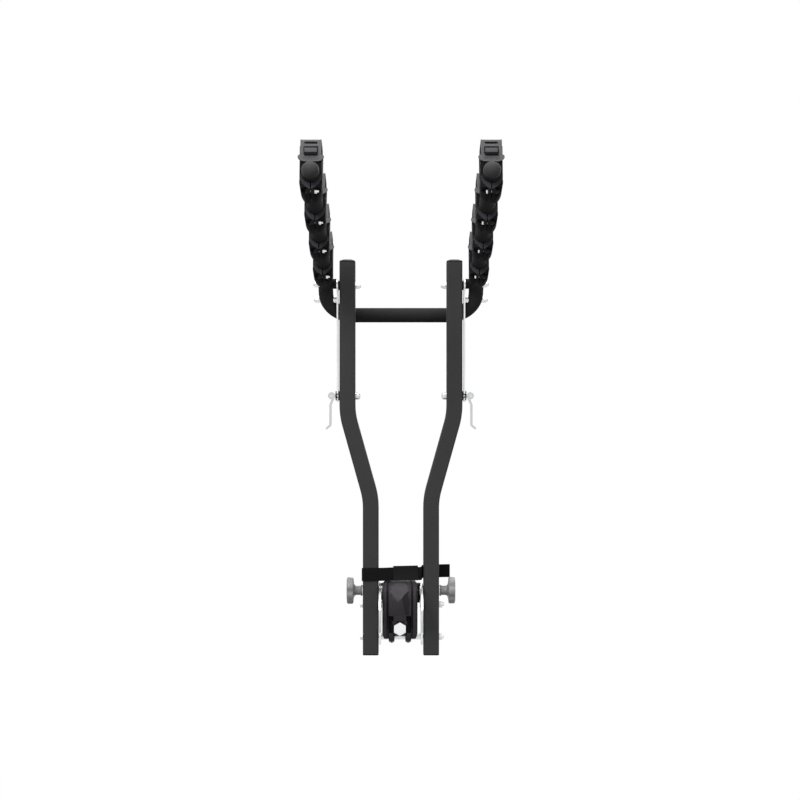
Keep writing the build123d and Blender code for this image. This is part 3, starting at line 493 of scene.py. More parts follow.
@dataclass(frozen=True)
class RodRow:
    """Thin round rods in a row along Z: straight grip ribs, or the rings of a thread's crests.

    The reach is a straight rod's length or a ring's radius, and the radius is the rod's own.
    """

    reach: float
    radius: float
    pitch: float
    count: int
    finish: Finish
    rings: bool = False
    ring_steps: int = 28
    ring_sides: int = 4
    rib_sides: int = 10

    def _path(self, tree: GeometryTree, reach: Socket) -> Socket:
        """The middle line of one rod: a ring round Z, or a line along X.

        Args:
            tree: the group.
            reach: the ring's radius or the line's length.

        Returns:
            The curve.
        """
        if self.rings:
            sockets = {"Resolution": self.ring_steps, "Radius": reach}
            return tree.node("GeometryNodeCurvePrimitiveCircle", sockets)
        end = tree.node("ShaderNodeCombineXYZ", {"X": reach})
        return tree.node("GeometryNodeCurvePrimitiveLine", {"End": end})

    def mesh(self) -> bpy.types.Mesh:
        """Grows the row from the origin.

        Returns:
            The row as one plain mesh.
        """
        tree = GeometryTree("rod_row")
        reach, radius, pitch = (tree.size(name) for name in ("Reach", "Radius", "Pitch"))
        count = tree.size("Count", "NodeSocketInt")
        sides = self.ring_sides if self.rings else self.rib_sides
        profile = tree.node("GeometryNodeCurvePrimitiveCircle", {"Resolution": sides, "Radius": radius})
        sockets = {
            "Curve": self._path(tree, reach),
            "Profile Curve": profile,
            "Fill Caps": not self.rings,
        }
        rod = tree.node("GeometryNodeCurveToMesh", sockets)
        step = tree.node("ShaderNodeCombineXYZ", {"Z": pitch})
        points = tree.node("GeometryNodeMeshLine", {"Count": count, "Offset": step})
        placed = tree.node("GeometryNodeInstanceOnPoints", {"Points": points, "Instance": rod})
        tree.close(placed, self.finish.material())
        names = ("Reach", "Radius", "Pitch", "Count")
        return tree.grow(dict(zip(names, (self.reach, self.radius, self.pitch, self.count))))


class Shape:
    """A mesh in the making, with the few ways in which the rack's pieces are built."""

    def __init__(self) -> None:
        """Starts empty."""
        self.work = bmesh.new()

    def wall(
        self,
        rows: Sequence[object],
        columns: Sequence[object],
        pair: Callable[[object, object], Pair],
        solid: Callable[[int, int], bool] = lambda row, column: True,
    ) -> None:
        """Adds a closed wall between two matching grids of points.

        Args:
            rows: what stands for each row of points.
            columns: what stands for each point of a row.
            pair: gives the points on the wall's two faces, from a row's and a column's.
            solid: tells which cell, by the numbers of its row and column, is material.
        """
        grid = [[pair(row, column) for column in columns] for row in rows]
        top, under = (
            [[self.work.verts.new(points[face]) for points in line] for line in grid]
            for face in (0, 1)
        )
        cells = product(range(len(rows) - 1), range(len(columns) - 1))
        filled = [cell for cell in cells if solid(*cell)]
        for i, j in filled:
            a, b, c, d = (i, j), (i + 1, j), (i + 1, j + 1), (i, j + 1)
            for layer in (top, under):
                self.work.faces.new([layer[r][k] for r, k in (a, b, c, d)])
            beside = ((i - 1, j), (i + 1, j), (i, j - 1), (i, j + 1))
            for other, (p, q), (r, s) in zip(beside, (a, b, a, d), (d, c, b, c)):
                if other not in filled:
                    self.work.faces.new((top[p][q], top[r][s], under[r][s], under[p][q]))
        for vertex in [v for v in self.work.verts if not v.link_faces]:
            self.work.verts.remove(vertex)

    def loft(self, rings: Sequence[Sequence[Point]]) -> None:
        """Adds a solid through closed rings of points, capped at both ends.

        Args:
            rings: the rings in order, with as many points in each.
        """
        made = [[self.work.verts.new(point) for point in ring] for ring in rings]
        for first, second in zip(made, made[1:]):
            for corners in zip(first, first[1:] + first[:1], second[1:] + second[:1], second):
                self.work.faces.new(corners)
        self.work.faces.new(made[0])
        self.work.faces.new(made[-1])

    def mesh(
        self, bevel: float = 0.0, sharp: float = 40.0, crease: float = 35.0, segments: int = 2
    ) -> bpy.types.Mesh:
        """Turns the faces outwards, rounds the sharp edges, and smooths the rest.

        Args:
            bevel: the width of the rounding, in the mesh's own unit.
            sharp: the angle, in degrees, past which an edge is rounded.
            crease: the angle past which two smooth faces meet in a crease.
            segments: how many faces go round an edge.

        Returns:
            The finished mesh.
        """
        bmesh.ops.recalc_face_normals(self.work, faces=self.work.faces)
        if bevel > 0.0:
            bmesh.ops.bevel(
                self.work,
                geom=[e for e in self.work.edges if self._bend(e) > sharp],
                offset=bevel,
                segments=segments,
                profile=0.6,
                affect="EDGES",
                clamp_overlap=True,
            )
        for face in self.work.faces:
            face.smooth = True
        for edge in self.work.edges:
            edge.smooth = len(edge.link_faces) == 2 and self._bend(edge) < crease
        mesh = bpy.data.meshes.new("shape")
        self.work.to_mesh(mesh)
        self.work.free()
        return mesh

    @staticmethod
    def _bend(edge: bmesh.types.BMEdge) -> float:
        """The angle between an edge's two faces, in degrees, or 0 without two faces."""
        return math.degrees(edge.calc_face_angle(0.0)) if len(edge.link_faces) == 2 else 0.0


def run_past(points: Sequence[Vector], index: int) -> Vector:
    """The way from the point before one of a line's points to the point after it."""
    return points[min(index + 1, len(points) - 1)] - points[max(index - 1, 0)]


def rounded_path(corners: Sequence[Point], radius: float, steps: int = 6) -> list[Vector]:
    """Rounds the corners of a run of points.

    Args:
        corners: the points, in order.
        radius: the bend radius, cut down where a run is too short for it.
        steps: how many points go on each bend.

    Returns:
        The points along the runs and bends.
    """
    most_of_run = 0.49
    points = [Vector(c) for c in corners]
    path = [points[0]]
    for before, here, after in zip(points, points[1:], points[2:]):
        back, on = before - here, after - here
        half = back.angle(on) / 2
        reach = min(radius / math.tan(half), most_of_run * min(back.length, on.length))
        start, end = here + back.normalized() * reach, here + on.normalized() * reach
        for step in range(steps + 1):
            t = step / steps
            path.append(start.lerp(here, t).lerp(here.lerp(end, t), t))
    path.append(points[-1])
    return path


def placed(point: Sequence[float] = (0.0, 0.0, 0.0), turn: Matrix = Matrix.Identity(4)) -> Matrix:
    """The matrix from a piece's own millimetres to its turned place on the rack, in metres."""
    return Matrix.Translation(Vector(point) * MM) @ turn @ Matrix.Scale(MM, 4)


@dataclass
class Piece:
    """One finished object: its mesh, the body it rides on, and what it stands for."""

    name: str
    mesh: bpy.types.Mesh
    body: str
    finish: Finish | None
    slot: str
    stands_for: tuple[str, ...] = ()

    def add(self, place: Matrix = Matrix.Identity(4)) -> None:
        """Puts the piece in the scene, at the origin and riding on its body.

        Args:
            place: turns and moves the mesh to its place on the rack.
        """
        self.mesh.name = self.name
        self.mesh.transform(place)
        if self.finish is not None:
            self.mesh.materials.clear()
            self.mesh.materials.append(self.finish.material())
        made = link(self.name, self.mesh)
        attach(made, self.body)
        if self.stands_for:
            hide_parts(*self.stands_for)
        LOG.info("%s: %d faces on %s", self.name, len(self.mesh.polygons), self.body)


@dataclass(frozen=True)
class ArmLine:
    """Where an arm's axis runs, for what is fixed along it."""

    spacing: float = 143.5
    post_plane: float = -48.0
    pivot_height: float = 609.0
    slope: float = 13.5
    first_reach: float = 125.0
    pitch: float = 150.0
    count: int = 4

    def place(self, side: Side, number: int) -> Matrix:
        """The frame of a cradle.

        Args:
            side: the arm's side.
            number: the cradle's number, counted from the tip.

        Returns:
            The matrix from the cradle's millimetres to the rack's metres.
        """
        reach = self.first_reach + self.pitch * (self.count - number)
        angle = math.radians(self.slope)
        y = self.post_plane - reach * math.cos(angle)
        z = self.pivot_height + reach * math.sin(angle)
        return placed((side.value * self.spacing, y, z), Matrix.Rotation(-angle, 4, "X"))


@dataclass(frozen=True)
class RubberStrap:
    """A moulded strap: a hooked front plate with a grip tab, a band over the tube, and a root."""

    line: ArmLine
    half_width: float = 16.8
    thickness: float = 3.0
    middle: float = 24.9
    crest: float = 55.9
    bottom: float = 20.0
    bend: float = 4.0
    hook_half: float = 11.5
    hook_low: float = 32.1
    hook_high: float = 45.1
    spare_half: float = 10.3
    spare_low: float = 49.5
    spare_high: float = 52.9
    pin_y: float = 28.4
    pin_z: float = 27.0
    eye_radius: float = 5.0
    eye_half: float = 11.0
    eye_steps: int = 28
    eye_round: float = 0.8
    neck_half: float = 14.0
    neck_rise: float = 8.5
    neck_foot: float = 6.5
    band_end: float = 12.0
    hook_step: float = 4.0
    hook_brow: float = 2.0
    rim: float = 0.5
    rim_share: float = 0.9
    edge_round: float = 0.45
    edge_shares: tuple[float, ...] = (0.84, 0.95, 1.0)
    middle_share: float = 0.3
    grip: RodRow = RodRow(reach=26.0, radius=0.55, pitch=-2.6, count=3, finish=Finish.STRAP)
    grip_rise: float = 9.4

    def _front_rows(self) -> list[Flat]:
        """Heights up the front plate, each with the half width there.

        Returns:
            The rows, from the tab's lower edge up.
        """
        tab = (
            (0.0, 10.0),
            (0.6, 13.4),
            (2.0, 16.6),
            (4.2, 19.4),
            (6.5, 20.8),
            (8.5, 21.0),
            (10.2, 20.0),
            (11.4, 18.0),
        )
        low, high = self.hook_low, self.hook_high
        hook = (low, low + self.hook_step, high - self.hook_step, high)
        plate = (*hook, high + self.hook_brow, self.spare_low)
        return [(self.bottom + z, w) for z, w in tab] + [(z, self.half_width) for z in plate]

    def _columns(self) -> list[float]:
        """The columns of the strap's mesh, close together where an opening or an edge is.

        Returns:
            Places across the strap, as shares of its half width.
        """
        openings = (half / self.half_width for half in (self.spare_half, self.hook_half))
        right = [self.middle_share, *openings, *self.edge_shares]
        return [-share for share in reversed(right)] + right

    def band_mesh(self) -> bpy.types.Mesh:
        """Builds the strap itself, in its cradle's frame.

        Returns:
            The strap without its eye.
        """
        over = (
            (0.0, -self.middle, self.spare_high),
            (0.0, -self.middle, self.crest),
            (0.0, self.middle, self.crest),
            (0.0, self.middle, self.pin_z + self.band_end),
        )
        neck = (
            (self.neck_rise, self.neck_half),
            (self.neck_foot, self.eye_half),
            (0.0, self.eye_half),
        )
        rows = [(Vector((0.0, -self.middle, z)), width) for z, width in self._front_rows()]
        rows += [(point, self.half_width) for point in rounded_path(over, self.bend)]
        rows += [(Vector((0.0, self.middle, self.pin_z + rise)), width) for rise, width in neck]
        spine = [point for point, _ in rows]
        columns = self._columns()
        heights = [z for z, _ in self._front_rows()] + [self.spare_high]

        def pair(row: int, share: float) -> Pair:
            """The points on the outside and the inside.

            Args:
                row: the row's number.
                share: the place across, from -1 to 1.

            Returns:
                The two points.
            """
            point, width = rows[row]
            ahead = run_past(spine, row)
            out = Vector((0.0, -ahead.z, ahead.y)).normalized()
            raised = self.rim if abs(share) > self.rim_share and width == self.half_width else 0.0
            across = point + Vector((share * width, 0.0, 0.0))
            return across + out * (self.thickness / 2 + raised), across - out * (self.thickness / 2)

        def solid(row: int, column: int) -> bool:
            """Whether a cell is rubber, and not one of the two openings.

            Args:
                row: the cell's row.
                column: its column.

            Returns:
                True where there is rubber.
            """
            if row + 1 >= len(heights):
                return True
            low, high = heights[row], heights[row + 1]
            middle = abs(columns[column] + columns[column + 1]) / 2 * self.half_width
            in_hook = low >= self.hook_low and high <= self.hook_high and middle < self.hook_half
            in_spare = low >= self.spare_low and high <= self.spare_high
            return not (in_hook or (in_spare and middle < self.spare_half))

        shape = Shape()
        shape.wall(range(len(rows)), columns, pair, solid)
        return shape.mesh(bevel=self.edge_round)

    def root_mesh(self) -> bpy.types.Mesh:
        """Builds the rolled eye that turns on the pin.

        Returns:
            The eye, round the pin.
        """
        shape = Shape()
        turn = Matrix.Rotation(math.pi / 2, 4, "Y")
        bmesh.ops.create_cone(
            shape.work,
            cap_ends=True,
            segments=self.eye_steps,
            radius1=self.eye_radius,
            radius2=self.eye_radius,
            depth=2 * self.eye_half,
            matrix=Matrix.Translation((0.0, self.pin_y, self.pin_z)) @ turn,
        )
        return shape.mesh(bevel=self.eye_round)

    def add(self, side: Side, number: int) -> None:
        """Adds one strap with its eye and its grip ribs.

        Args:
            side: the arm's side.
            number: its cradle's number, counted from the tip.
        """
        name = side.named(f"*_strap_{number}")
        place = self.line.place(side, number)
        shared = (name, Finish.STRAP, "strap_rubber")
        Piece(name + "_band", self.band_mesh(), *shared, (name,)).add(place)
        Piece(name + "_root", self.root_mesh(), *shared).add(place)
        front = -self.middle - self.thickness / 2
        shift = Matrix.Translation((-self.grip.reach / 2, front, self.bottom + self.grip_rise))
        Piece(name + "_grip", self.grip.mesh(), name, None, "strap_rubber").add(place @ shift)


@dataclass(frozen=True)
class ClampKnob:
    """A lobed hand knob on a flared hub."""

    centre: Point = (74.1, -48.0, 26.0)
    radius: float = 25.8
    lobes: int = 7
    dip: float = 2.8
    points: int = 112
    lobe_power: float = 1.6

    def _profile(self) -> list[Point]:
        """The knob's outline, from the foot of its boss to the middle of its face.

        Returns:
            Distance out, radius, and how much of the lobes shows, along the knob.
        """
        return [
            (0.0, 4.6, 0.0),
            (0.0, 10.6, 0.0),
            (1.4, 10.8, 0.0),
            (2.2, 10.2, 0.0),
            (3.4, 8.9, 0.0),
            (11.5, 8.9, 0.0),
            (13.4, 9.8, 0.0),
            (15.2, 13.0, 0.1),
            (16.2, 18.0, 0.5),
            (16.6, self.radius - 2.4, 0.9),
            (17.6, self.radius - 0.6, 1.0),
            (19.0, self.radius, 1.0),
            (26.4, self.radius, 1.0),
            (28.2, self.radius - 0.8, 1.0),
            (29.2, self.radius - 2.6, 0.9),
            (29.4, self.radius - 5.0, 0.7),
            (29.0, 14.0, 0.1),
            (28.4, 12.0, 0.0),
            (28.6, 6.0, 0.0),
        ]

    def _rim(self, out: float, radius: float, share: float) -> list[Point]:
        """One ring of points round the knob, at a distance out.

        Args:
            out: how far out the ring is.
            radius: its radius.
            share: how much of the lobes shows.

        Returns:
            The ring's points.
        """
        ring = []
        for step in range(self.points):
            angle = 2 * math.pi * step / self.points
            wave = (0.5 + 0.5 * math.cos(self.lobes * angle)) ** self.lobe_power
            away = radius - self.dip * share * wave
            ring.append((out, away * math.cos(angle), away * math.sin(angle)))
        return ring

    def add(self, side: Side) -> None:
        """Adds the knob on one side; it is built along +X from the origin.

        Args:
            side: the post's side.
        """
        node = side.named("*_knob")
        shape = Shape()
        shape.loft([self._rim(*place) for place in self._profile()])
        x, y, z = self.centre
        turn = Matrix.Rotation(0.0 if side is Side.RIGHT else math.pi, 4, "Z")
        knob = Piece(
            node + "_grip", shape.mesh(crease=30.0), node, Finish.KNOB, "knob_plastic", (node,)
        )
        knob.add(placed((side.value * x, y, z), turn))


@dataclass(frozen=True)
class SafetyWebbing:
    """The tape round both posts, and the slide that holds it."""

    post_front: float = -68.0
    post_rear: float = -28.0
    inner: float = 42.6
    outer: float = 72.6
    gap: float = 0.5
    thickness: float = 1.6
    width: float = 25.0
    height: float = 59.6
    lean: float = 0.02
    sag: float = 0.11
    tail: float = 94.0
    slant: float = 3.0
    tuck: float = 8.0
    tuck_end: float = 4.0
    corner: float = 4.9
    thin_edge: float = 0.36
    sway: float = 0.25
    sway_run: float = 17.0
    slide_half: float = 23.5
    slide_middle: float = 9.0
    slide_rise: float = 1.2
    slide_near: float = 0.95
    slide_far: float = 2.3
    slide_sunk: float = 0.5
    slide_edge: float = 12.0

    def _centreline(self) -> list[Vector]:
        """The tape's path, from its tail round both posts and back behind the slide.

        Returns:
            The path's points, level with the origin.
        """
        half = self.gap + self.thickness / 2
        front, rear = self.post_front - half, self.post_rear + half
        left, inner = -(self.outer + half), self.inner - half
        corners = (
            (self.tail, rear + self.slant, 0.0),
            (self.outer, rear, 0.0),
            (inner, rear, 0.0),
            (inner - self.slant, front, 0.0),
            (left, front, 0.0),
            (left, rear, 0.0),
            (-inner, rear, 0.0),
            (self.tuck - inner, front + self.tuck, 0.0),
            (self.tuck - self.slide_half, front + self.tuck_end, 0.0),
        )
        return rounded_path(corners, self.corner)

    def _level(self, x: float, y: float) -> float:
        """The height of the tape's middle: lower to the left, and behind the left post."""
        behind = max(0.0, y - self.post_front) if x < 0.0 else 0.0
        return self.height + self.lean * x - self.sag * behind

    def tape_mesh(self) -> bpy.types.Mesh:
        """Builds the tape, with its weave's UV map in metres.

        Returns:
            The tape, round both posts.
        """
        path = self._centreline()
        runs = [(second - first).length for first, second in zip(path, path[1:])]
        lengths = [0.0, *accumulate(runs)]

        def pair(row: int, share: float) -> Pair:
            """The points on the tape's two faces.

            Args:
                row: the row's number.
                share: the place across, from -0.5 to 0.5.

            Returns:
                The two points.
            """
            point, ahead = path[row], run_past(path, row)
            out = Vector((ahead.y, -ahead.x, 0.0)).normalized()
            out *= self.thickness * (self.thin_edge if abs(share) == 0.5 else 0.5)
            sway = self.sway * math.sin(lengths[row] / self.sway_run)
            level = self._level(point.x, point.y) + sway + share * self.width
            middle = point + Vector((0.0, 0.0, level))
            return middle + out, middle - out

        shares = (-0.5, -0.47, -0.25, 0.0, 0.25, 0.47, 0.5)
        shape = Shape()
        shape.wall(range(len(path)), shares, pair)
        layer = shape.work.loops.layers.uv.new("weave")
        for face in shape.work.faces:
            for loop in face.loops:
                flat = Vector((loop.vert.co.x, loop.vert.co.y, 0.0))
                near = min(range(len(path)), key=lambda i: (path[i] - flat).length_squared)
                rise = loop.vert.co.z - self._level(flat.x, flat.y) + self.width / 2
                loop[layer].uv = (lengths[near] * MM, rise * MM)
        return shape.mesh(crease=50.0)

    def slide_mesh(self) -> bpy.types.Mesh:
        """Builds the slide: a plate before the tape and one behind it, with raised long edges.

        Returns:
            Both plates, leaning as the tape does.
        """
        middle = self.post_front - self.gap - self.thickness / 2

        def pair(face: int, z: float, share: float) -> Pair:
            """The points on the far and the near side of one plate.

            Args:
                face: -1 for the front plate, 1 for the rear one.
                z: the height on the plate.
                share: the place along it, from -1 to 1.

            Returns:
                The two points.
            """
            x = self.slide_middle + share * self.slide_half
            far = self.slide_far - (self.slide_sunk if abs(z) < self.slide_edge else 0.0)
            return tuple(Vector((x, middle + face * away, z)) for away in (far, self.slide_near))

        heights = (-14.0, -13.4, -11.6, 0.0, 11.6, 13.4, 14.0)
        shares = (-1.0, -0.96, -0.86, -0.3, 0.3, 0.86, 0.96, 1.0)
        shape = Shape()
        for face in (-1, 1):
            shape.wall(heights, shares, partial(pair, face))
        mesh = shape.mesh(bevel=0.4)
        level = self._level(self.slide_middle, self.post_front) + self.slide_rise
        turn = Matrix.Rotation(-math.atan(self.lean), 4, "Y")
        to_middle = Matrix.Translation((self.slide_middle, 0.0, level))
        mesh.transform(to_middle @ turn @ Matrix.Translation((-self.slide_middle, 0.0, 0.0)))
        return mesh

    def add(self) -> None:
        """Adds the tape and its slide."""
        tape, slide = self.tape_mesh(), self.slide_mesh()
        Piece("safety_webbing", tape, "mast", Finish.TAPE, "webbing", ("safety_strap",)).add(placed())
        stands_for = ("strap_slide",)
        Piece("webbing_slide", slide, "mast", Finish.SLIDE, "slide_plastic", stands_for).add(placed())


@dataclass(frozen=True)
class ClampLever:
    """The moulded cover that is swung down to press the jaw: ribbed, slotted and hollow behind."""

    shift: float = -2.0
    half_width: float = 33.5
    skin: float = 4.0
    back: float = -57.0
    slot_inner: float = 12.0
    slot_outer: float = 21.0
    slot_low: float = -52.0
    slot_high: float = -18.0
    window_half: float = 13.0
    window_high: float = -28.0
    groove: float = 0.12
    groove_inner: float = 0.66
    groove_outer: float = 0.735
    floor_inset: float = 0.005
    floor_share: float = 0.9
    floor_thickness: float = 0.6
    facet_edge: float = 0.2
    gusset_front: float = -90.4
    gusset_rear: float = -86.0
    gusset_foot: float = -36.0
    gusset_reach: float = 5.8
    gusset_overlap: float = 0.4
    gusset_rise: float = 0.5
    knee: float = -60.0
    prong_sections: tuple[Flat, ...] = ((10.2, 0.0), (15.8, 3.0), (21.4, 0.0))
    shoulder: float = 36.0
    shoulder_round: float = 0.05
    foot: float = -56.0
    foot_slope: float = 0.5
    side_share: float = 0.94
    side_thinning: float = 6.0

    def _profile(self) -> list[Flat]:
        """The line of the cover's front.

        Returns:
            The line from the top edge down, as (y, z).
        """
        return [
            (-57.5, 46.2),
            (-62.0, 46.0),
            (-65.5, 45.0),
            (-69.0, 42.8),
            (-72.5, 40.4),
            (-77.5, 37.0),
            (-82.8, 32.8),
            (-86.6, 27.3),
            (-89.8, 21.0),
            (-91.2, 9.0),
            (-91.9, -3.0),
            (-91.7, self.slot_high),
            (-91.2, self.window_high),
            (-88.4, -42.0),
            (-86.0, self.slot_low),
            (-84.0, -59.5),
            (-81.5, -62.4),
            (-77.0, -63.0),
        ]

    def _width(self, z: float) -> float:
        """Half the cover's width at a height: it narrows at its rounded top and chamfered foot.

        Args:
            z: the height.

        Returns:
            Half the width.
        """
        if z > self.shoulder:
            return self.half_width - (z - self.shoulder) ** 2 * self.shoulder_round
        return self.half_width - max(0.0, self.foot - z) * self.foot_slope

    def cover_mesh(self) -> bpy.types.Mesh:
        """Builds the cover from its profile, with its two slots and the screw's window.

        Returns:
            The cover's skin.
        """
        across = (
            (1.0, 1.0),
            (1.0, 0.5),
            (0.985, 0.16),
            (0.95, 0.05),
            (0.9, 0.0),
            (0.76, 0.0),
            (self.groove_outer, self.groove),
            (self.groove_inner, self.groove),
            (self.slot_outer / self.half_width, 0.0),
            (0.5, 0.0),
            (self.window_half / self.half_width, 0.0),
            (self.slot_inner / self.half_width, 0.0),
            (0.12, 0.0),
        )
        columns = [(-share, depth) for share, depth in across] + list(reversed(across))
        spine = [Vector((0.0, y, z)) for y, z in self._profile()]

        def pair(row: int, place: Flat) -> Pair:
            """The points on the front and the back of the skin.

            Args:
                row: the row's number.
                place: the place across, and how far back it lies.

            Returns:
                The two points.
            """
            point, (share, depth) = spine[row], place
            along = run_past(spine, row).normalized()
            skin = self.skin * (1.0 - min(1.0, depth * self.side_thinning))
            inward = Vector((0.0, -along.z, along.y)) * skin
            x = self.shift + share * self._width(point.z)
            y = point.y + (self.back - point.y) * depth
            side = math.copysign(self.skin, share) if abs(share) > self.side_share else 0.0
            back = (x - side, min(self.back, y + inward.y), point.z + inward.z)
            return Vector((x, y, point.z)), Vector(back)

        def solid(row: int, column: int) -> bool:
            """Whether a cell is plastic, and not a slot or the window.

            Args:
                row: the cell's row.
                column: its column.

            Returns:
                True where there is plastic.
            """
            low, high = spine[row + 1].z, spine[row].z
            middle = abs(columns[column][0] + columns[column + 1][0]) / 2 * self.half_width
            slot = self.slot_inner < middle < self.slot_outer
            if slot and high <= self.slot_high and low >= self.slot_low:
                return False
            return not (middle < self.window_half and high <= self.window_high)

        shape = Shape()
        shape.wall(range(len(spine)), columns, pair, solid)
        return shape.mesh(bevel=0.7, sharp=50.0, crease=32.0)

    def _front(self, x: float, z: float, proud: float) -> Vector:
        """A point at a place on the front, proud of the cover's surface.

        Args:
            x: how far the place is from the middle.
            z: its height.
            proud: how far the point stands out.

        Returns:
            The point.
        """
        profile = sorted((level, y) for y, level in self._profile())
        above = next(i for i, (level, _) in enumerate(profile) if level >= z)
        (z0, y0), (z1, y1) = profile[above - 1], profile[above]
        return Vector((self.shift + x, y0 + (y1 - y0) * (z - z0) / (z1 - z0) - proud, z))

    def crest_mesh(self) -> bpy.types.Mesh:
        """Builds the shield on the upper front: one facet faces up, two meet in a ridge below. The
        upper facets carry a painted highlight, and the lower right ones painted shade.

        Returns:
            The shield, in the lever's plastic, a painted-highlight copy of it and a painted-shade copy
            of it.
        """
        rim = (
            (-18.5, 36.0),
            (-10.0, 41.5),
            (0.0, 43.0),
            (10.0, 41.5),
            (16.0, 37.0),
            (18.0, 30.0),
            (18.8, 10.0),
            (17.0, -16.0),
            (10.5, -16.6),
            (-15.0, -16.0),
            (-19.0, 10.0),
            (-19.0, 28.0),
        )
        inner = (
            (-1.0, 32.0, 3.5),
            (8.0, 22.0, 4.2),
            (4.2, 16.0, 4.8),
            (-4.0, 8.5, 4.4),
            (7.0, 0.0, 4.4),
        )
        shape = Shape()
        edge = [shape.work.verts.new(self._front(*place, self.facet_edge)) for place in rim]
        centre, cut, corner, point, ridge = (shape.work.verts.new(self._front(*p)) for p in inner)
        # The lit facets take a painted highlight, and the facets on the lower right take painted shade.
        lit = (*edge[:6], cut, corner, point, edge[11])
        facets = {
            Finish.LEVER: (
                (point, edge[11], edge[10], edge[9]),
                (point, edge[9], edge[8], ridge),
                (point, ridge, corner),
                edge,
            ),
            Finish.SHIELD: [(centre, a, b) for a, b in zip(lit, (*lit[1:], lit[0]))],
            Finish.SHADE: (
                (edge[5], edge[6], cut),
                (edge[6], corner, cut),
                (edge[6], edge[7], ridge, corner),
                (edge[7], edge[8], ridge),
            ),
        }
        for index, faces in enumerate(facets.values()):
            for face in faces:
                shape.work.faces.new(face).material_index = index
        bmesh.ops.triangulate(shape.work, faces=shape.work.faces)
        mesh = shape.mesh(crease=24.0)
        for finish in facets:
            mesh.materials.append(finish.material())
        return mesh

    def groove_shade_mesh(self) -> bpy.types.Mesh:
        """Builds dark strips in the two grooves that run down to the slots: painted shade that stands
        in for the grooves' depth.

        Returns:
            Both strips of painted shade.
        """

        def pair(side: Side, place: Flat, share: float) -> Pair:
            """The points on the front and the back of a floor.

            Args:
                side: the groove's side.
                place: the depth and height of the cover's front.
                share: the place across the cover.

            Returns:
                The two points.
            """
            y, z = place
            x = self.shift + side.value * self._width(z) * share
            near = y + (self.back - y) * self.groove * self.floor_share
            return Vector((x, near, z)), Vector((x, near + self.floor_thickness, z))

        rows = [(y, z) for y, z in self._profile() if z > self.slot_low]
        ends = (self.groove_inner + self.floor_inset, self.groove_outer - self.floor_inset)
        shape = Shape()
        for side in Side:
            shape.wall(rows, ends, partial(pair, side))
        return shape.mesh()

    def prong_mesh(self) -> bpy.types.Mesh:
        """Builds the two prongs with their pointed feet, behind the slots.

        Returns:
            Both prongs.
        """
        outline = (
            (-90.6, -17.2),
            (-90.6, -14.6),
            (-61.5, -14.6),
            (-49.0, -51.8),
            (-41.5, -54.2),
            (-38.4, -62.0),
            (-41.5, -69.8),
            (-49.0, -71.8),
            (-66.0, -69.0),
            (-79.0, -65.2),
            (-79.6, -60.0),
            (-68.0, -52.0),
            (-66.0, -17.2),
        )
        shape = Shape()
        for side in Side:
            rings = []
            for out, drop in self.prong_sections:
                x = self.shift + side.value * out
                rings.append([(x, y, z - drop if z < self.knee else z) for y, z in outline])
            shape.loft(rings)
        return shape.mesh(bevel=1.0, sharp=25.0)

    def gusset_mesh(self) -> bpy.types.Mesh:
        """Builds the two corner webs over the window, clear of the turning hexagon.

        Returns:
            Both webs.
        """
        high, outer = self.window_high + self.gusset_rise, self.window_half + self.gusset_overlap
        corners = ((outer, high), (outer, self.gusset_foot), (self.gusset_reach, high))
        depths = (self.gusset_front, self.gusset_rear)
        shape = Shape()
        for side in Side:
            shape.loft([[(self.shift + side.value * x, y, z) for x, z in corners] for y in depths])
        return shape.mesh(bevel=0.3)

    def add(self) -> None:
        """Adds the cover, what is moulded on it, and the painted shade in its grooves."""
        node = "clamp_lever"
        pieces = (
            ("_cover", self.cover_mesh(), Finish.LEVER, (node,)),
            # The crest carries a painted highlight and painted shade on its facets.
            ("_crest", self.crest_mesh(), None, ()),
            # Dark strips in the spacers' black plastic: painted shade in the grooves.
            ("_gaps", self.groove_shade_mesh(), Finish.SPACER, ()),
            ("_prongs", self.prong_mesh(), Finish.LEVER, ()),
            ("_gussets", self.gusset_mesh(), Finish.LEVER, ()),
        )
        for ending, mesh, finish, stands_for in pieces:
            Piece(node + ending, mesh, node, finish, "lever_plastic", stands_for).add(placed())


@dataclass(frozen=True)
class RoundedNode:
    """A CAD node's shape with its sharp edges rounded, for moulded pieces."""

    width: float
    segments: int = 2

    def add(self, node: str, body: str, finish: Finish, slot: str) -> None:
        """Replaces one node with its rounded copy.

        Args:
            node: the CAD node.
            body: the body that it rides on.
            finish: the copy's finish.
            slot: a name kept on the piece; nothing here uses it.
        """
        shape = Shape()
        work = shape.work
        work.from_mesh(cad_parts[node].data)
        bmesh.ops.remove_doubles(work, verts=work.verts, dist=0.002 * MM)
        flat = math.radians(0.8)
        bmesh.ops.dissolve_limit(work, angle_limit=flat, verts=work.verts, edges=work.edges)
        mesh = shape.mesh(bevel=self.width * MM, sharp=50.0, segments=self.segments)
        Piece(node + "_rounded", mesh, body, finish, slot, (node,)).add()


